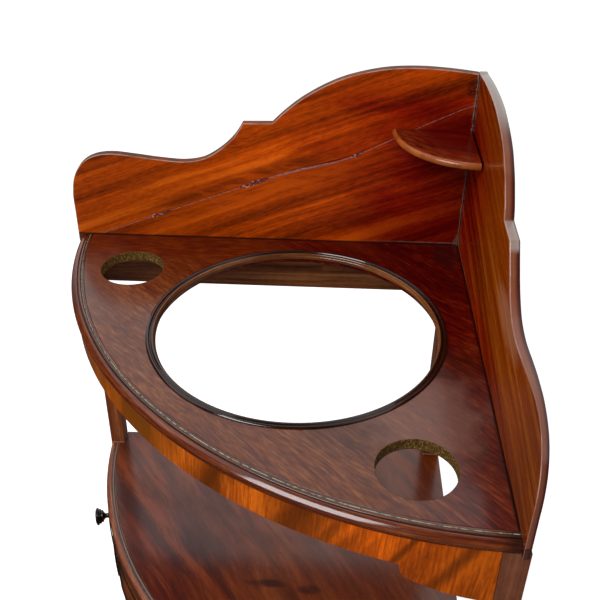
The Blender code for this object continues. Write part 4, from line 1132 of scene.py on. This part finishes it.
def leg_outline():
    """Side view of a front leg with its swept foot."""
    outer = [(LEG_FRONT, LEG_TOP), (LEG_FRONT, LEG_STRAIGHT_FROM)]
    inner = [(LEG_BACK, LEG_TOP), (LEG_BACK, LEG_STRAIGHT_FROM)]
    for step in range(SWEEP_STEPS + 1):
        share = step / SWEEP_STEPS
        height = SWEEP_HEIGHT * (1 - share)
        out = SWEEP_OUT * share ** 2
        outer.append((LEG_FRONT + out, height))
        inner.append((LEG_BACK + out + SWEEP_TAPER * share, height))
    return inner + outer[::-1]


def make_leg(side, look, outline):
    """A leg with softened arrises; the right one is drawn along the other wall."""
    across = LEG_INSIDE - LEG_WIDE / 2
    bm = slab([outline], LEG_WIDE, SOFT)
    if side == "right":
        move(bm, lambda c: wall_point(across + c.z, c.x, c.y))
    else:
        move(bm, lambda c: wall_point(c.x, across + c.z, c.y))
    piece("post_" + side, bm, look, ["leg_" + side])


def make_case_rail(name, node):
    """A bowed rail of the drawer case."""
    low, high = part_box(node)
    half_long = BOW_RADIUS * leg_angle(BOW_RADIUS) + END_SPARE
    half = (high.z - low.z) / 2
    bm = between_legs(rolled([rectangle(-half_long, half_long, -half, half)], CASE_RAIL_THICK,
                             BOW_RADIUS, (low.z + high.z) / 2, RAIL_ROUND))
    piece(name, bm, "rail_bow", [node])


def make_front(side, first, last, ends, thick, node, bead_node, body="stand"):
    """A front with its cock bead, knob and plate; the bead is inset from the ends."""
    low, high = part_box(node)
    middle = (low.z + high.z) / 2
    half = (high.z - low.z) / 2
    outline = rectangle(first * BOW_RADIUS, last * BOW_RADIUS, -half, half)
    bm = between_legs(rolled([outline], thick, BOW_RADIUS, middle, CRISP))
    piece("front_" + side, bm, "fronts", [node], body)
    rims = [rectangle(ends[0] * BOW_RADIUS + inset, ends[1] * BOW_RADIUS - inset, inset - half,
                      half - inset) for inset in (BEAD_INSET, BEAD_INSET + BEAD_WIDE)]
    bm = rolled(rims, BEAD_PROUD, BOW_RADIUS + FIT_GAP + BEAD_PROUD, middle, RAIL_ROUND)
    piece("bead_" + side, bm, "bead", [bead_node], body)
    angle = (ends[0] + ends[1]) / 2
    turn = Matrix.Rotation(angle, 4, "Z") @ Matrix.Rotation(QUARTER, 4, "X")
    plate_at = BOW_RADIUS + FIT_GAP
    matrix = Matrix.Translation(bow_point(angle, plate_at, middle)) @ turn
    profile = scaled(PLATE_PROFILE, PLATE_RADIUS, PLATE_THICK)
    profile.append((0.32 * PLATE_RADIUS, 0))
    bm = lathed(profile, KNOB_STEPS, matrix)
    piece("plate_" + side, bm, "plate", ["knob_plate_" + side], body)
    matrix = Matrix.Translation(bow_point(angle, plate_at + PLATE_THICK + FIT_GAP, middle)) @ turn
    shank = DRAWER_FRONT_THICK + PLATE_THICK
    profile = [(max(r, AXIS), z) for r, z in scaled(KNOB_PROFILE, KNOB_RADIUS, KNOB_LONG)]
    profile += [(KNOB_SHANK_RADIUS, 0), (KNOB_SHANK_RADIUS, -shank), (AXIS, -shank)]
    bm = lathed(profile, KNOB_STEPS, matrix)
    piece("handle_" + side, bm, "knob", ["knob_" + side], body)


def make_fronts():
    """Two dummy fronts and the drawer's front."""
    leg_edge = leg_angle(BOW_RADIUS)
    leg = leg_edge + END_SPARE / BOW_RADIUS
    divider = math.asin((OPENING_HALF + DIVIDER_THICK + FIT_GAP) / (BOW_RADIUS - DUMMY_THICK))
    divider_edge = math.asin((OPENING_HALF + DIVIDER_THICK) / BOW_RADIUS)
    drawer = math.asin((OPENING_HALF - DRAWER_CLEARANCE) / BOW_RADIUS)
    make_front("left", -leg, -divider, (-leg_edge, -divider_edge), DUMMY_THICK,
               "dummy_front_left", "dummy_bead_left")
    make_front("right", divider, leg, (divider_edge, leg_edge), DUMMY_THICK,
               "dummy_front_right", "dummy_bead_right")
    make_front("drawer", -drawer, drawer, (-drawer, drawer), DRAWER_FRONT_THICK,
               "drawer_front", "drawer_bead", "drawer")


def make_undertier():
    """The undertier with its hollow front and softened edges."""
    end = LEG_BACK - FIT_GAP
    arm_x = (end - UNDERTIER_ARM) * SLANT
    rise = (end + UNDERTIER_ARM) * SLANT - UNDERTIER_HOLLOW
    radius = (arm_x ** 2 + rise ** 2) / (2 * rise)
    notch = LEG_INSIDE + FIT_GAP
    outline = [(notch, -BOARD_THICK), (end, -BOARD_THICK)]
    for step in range(HOLLOW_STEPS + 1):
        angle = math.asin(arm_x / radius) * (2 * step / HOLLOW_STEPS - 1)
        x = radius * math.sin(angle)
        depth = UNDERTIER_HOLLOW + radius - radius * math.cos(angle)
        outline.append(((depth - x) * SLANT, (depth + x) * SLANT))
    outline += [(-BOARD_THICK, end), (-BOARD_THICK, notch), (notch, notch)]
    bm = slab([outline], UNDERTIER_THICK, UNDERTIER_ROUND)
    move(bm, lambda c: wall_point(c.x, c.y, UNDERTIER_HEIGHT - UNDERTIER_THICK / 2 + c.z))
    piece("low_shelf", bm, "undertier", ["undertier"])


def dress_nodes():
    """Give the CAD nodes that stay their looks, by how their names begin."""
    looks = {
        "middle_shelf": "middle_shelf", "upper_rail_left": "wall_left",
        "case_panel_left": "wall_left", "upper_rail_right": "wall_right",
        "case_panel_right": "wall_right", "divider": "divider", "drawer_side": "inner_depth",
        "knob_nut": "plate", "apron_block": "wall_left", "rail_block": "wall_left", "": "inner",
    }
    for name, node in NODES.items():
        look = next(look for start, look in looks.items() if name.startswith(start))
        node.data.materials.clear()
        node.data.materials.append(LOOK[look])


dress_nodes()
make_boards()
make_corner_shelf()
make_top()
make_ring()
make_edge("top_edge", TOP_EDGE_PROFILE, TOP_RADIUS, EDGE_RADIUS, TOP_THICK,
          BOARD_THICK + FIT_GAP, TOP_HEIGHT)
make_edge("shelf_edge", SHELF_EDGE_PROFILE, SHELF_RADIUS, SHELF_EDGE_RADIUS, SHELF_THICK,
          LEG_WIDE - END_SPARE, SHELF_TOP)
make_apron()
make_leg("left", "leg_left", leg_outline())
make_leg("right", "leg", leg_outline())
make_leg("back", "leg", rectangle(-BOARD_THICK, LEG_INSIDE, 0, LEG_TOP))
make_case_rail("rail_over_drawer", "upper_bow_rail")
make_case_rail("rail_under_drawer", "lower_bow_rail")
make_fronts()
make_undertier()


# Floor, light and camera


def make_stage():
    """A white floor that keeps the stand's shadow; the camera sees it a little lighter."""
    bm = bmesh.new()
    bmesh.ops.create_grid(bm, x_segments=4, y_segments=4, size=9)
    mesh = bpy.data.meshes.new("floor")
    bm.to_mesh(mesh)
    bm.free()
    floor = add_object("floor", mesh)
    floor.visible_glossy = False
    look = Look("floor")
    view, glossy = look.rays()
    mesh.materials.append(look.surface(
        Base_Color=srgb(252, 252, 252), Roughness=1, Specular_IOR_Level=0,
        Emission_Color=WHITE, Emission_Strength=(view | glossy) * FLOOR_GLOW))


def make_room():
    """A white room behind the stand and a dim one in front of it."""
    world = bpy.data.worlds.new("room")
    bpy.context.scene.world = world
    world.use_nodes = True
    nodes = Nodes(world.node_tree)
    view, glossy = nodes.rays()
    back, up = nodes.parts(nodes.node("TexCoord", "Generated"))[1:]
    mirror = back.fade(-0.15, 0.3, MIRROR_FRONT, MIRROR_BACK, "LINEAR")
    mirror = mirror * up.fade(-0.1, 0.04, MIRROR_BELOW, 1, "LINEAR")
    background = world.node_tree.nodes["Background"]
    nodes.put(background.inputs["Strength"], mirror * glossy + (1 - glossy) * ROOM_LEVEL | view)
    nodes.put(background.inputs["Color"], WHITE)


def make_lamp(name, away, azimuth, rise, width, height, power):
    """A soft box that faces the aim."""
    azimuth, rise = math.radians(azimuth), math.radians(rise)
    light = bpy.data.lights.new(name, "AREA")
    light.energy = power
    light.shape = "RECTANGLE"
    light.size = width
    light.size_y = height
    lamp = add_object(name, light)
    level = away * math.cos(rise)
    place = Vector((level * math.sin(azimuth), -level * math.cos(azimuth), away * math.sin(rise)))
    lamp.location = Vector(LAMP_AIM) + place
    lamp.rotation_euler = (-place).to_track_quat("-Z", "Y").to_euler()


def make_camera():
    """The photograph's camera."""
    level = math.cos(CAMERA_PITCH)
    forward = Vector((level * math.cos(CAMERA_YAW), level * math.sin(CAMERA_YAW),
                      -math.sin(CAMERA_PITCH)))
    right = forward.cross(Vector((0, 0, 1))).normalized()
    up = right.cross(forward)
    across = math.cos(CAMERA_ROLL) * right + math.sin(CAMERA_ROLL) * up
    upright = -math.sin(CAMERA_ROLL) * right + math.cos(CAMERA_ROLL) * up
    matrix = Matrix((across, upright, -forward)).transposed().to_4x4()
    matrix.translation = Vector(CAMERA_PLACE)
    data = bpy.data.cameras.new("camera")
    data.sensor_width = 36
    data.lens = LENS
    data.clip_start = 0.02
    camera = add_object("camera", data)
    camera.matrix_world = matrix
    bpy.context.scene.camera = camera


make_stage()
make_room()
for row in LAMPS:
    make_lamp(*row)
make_camera()
bpy.context.scene.view_settings.view_transform = "Standard"
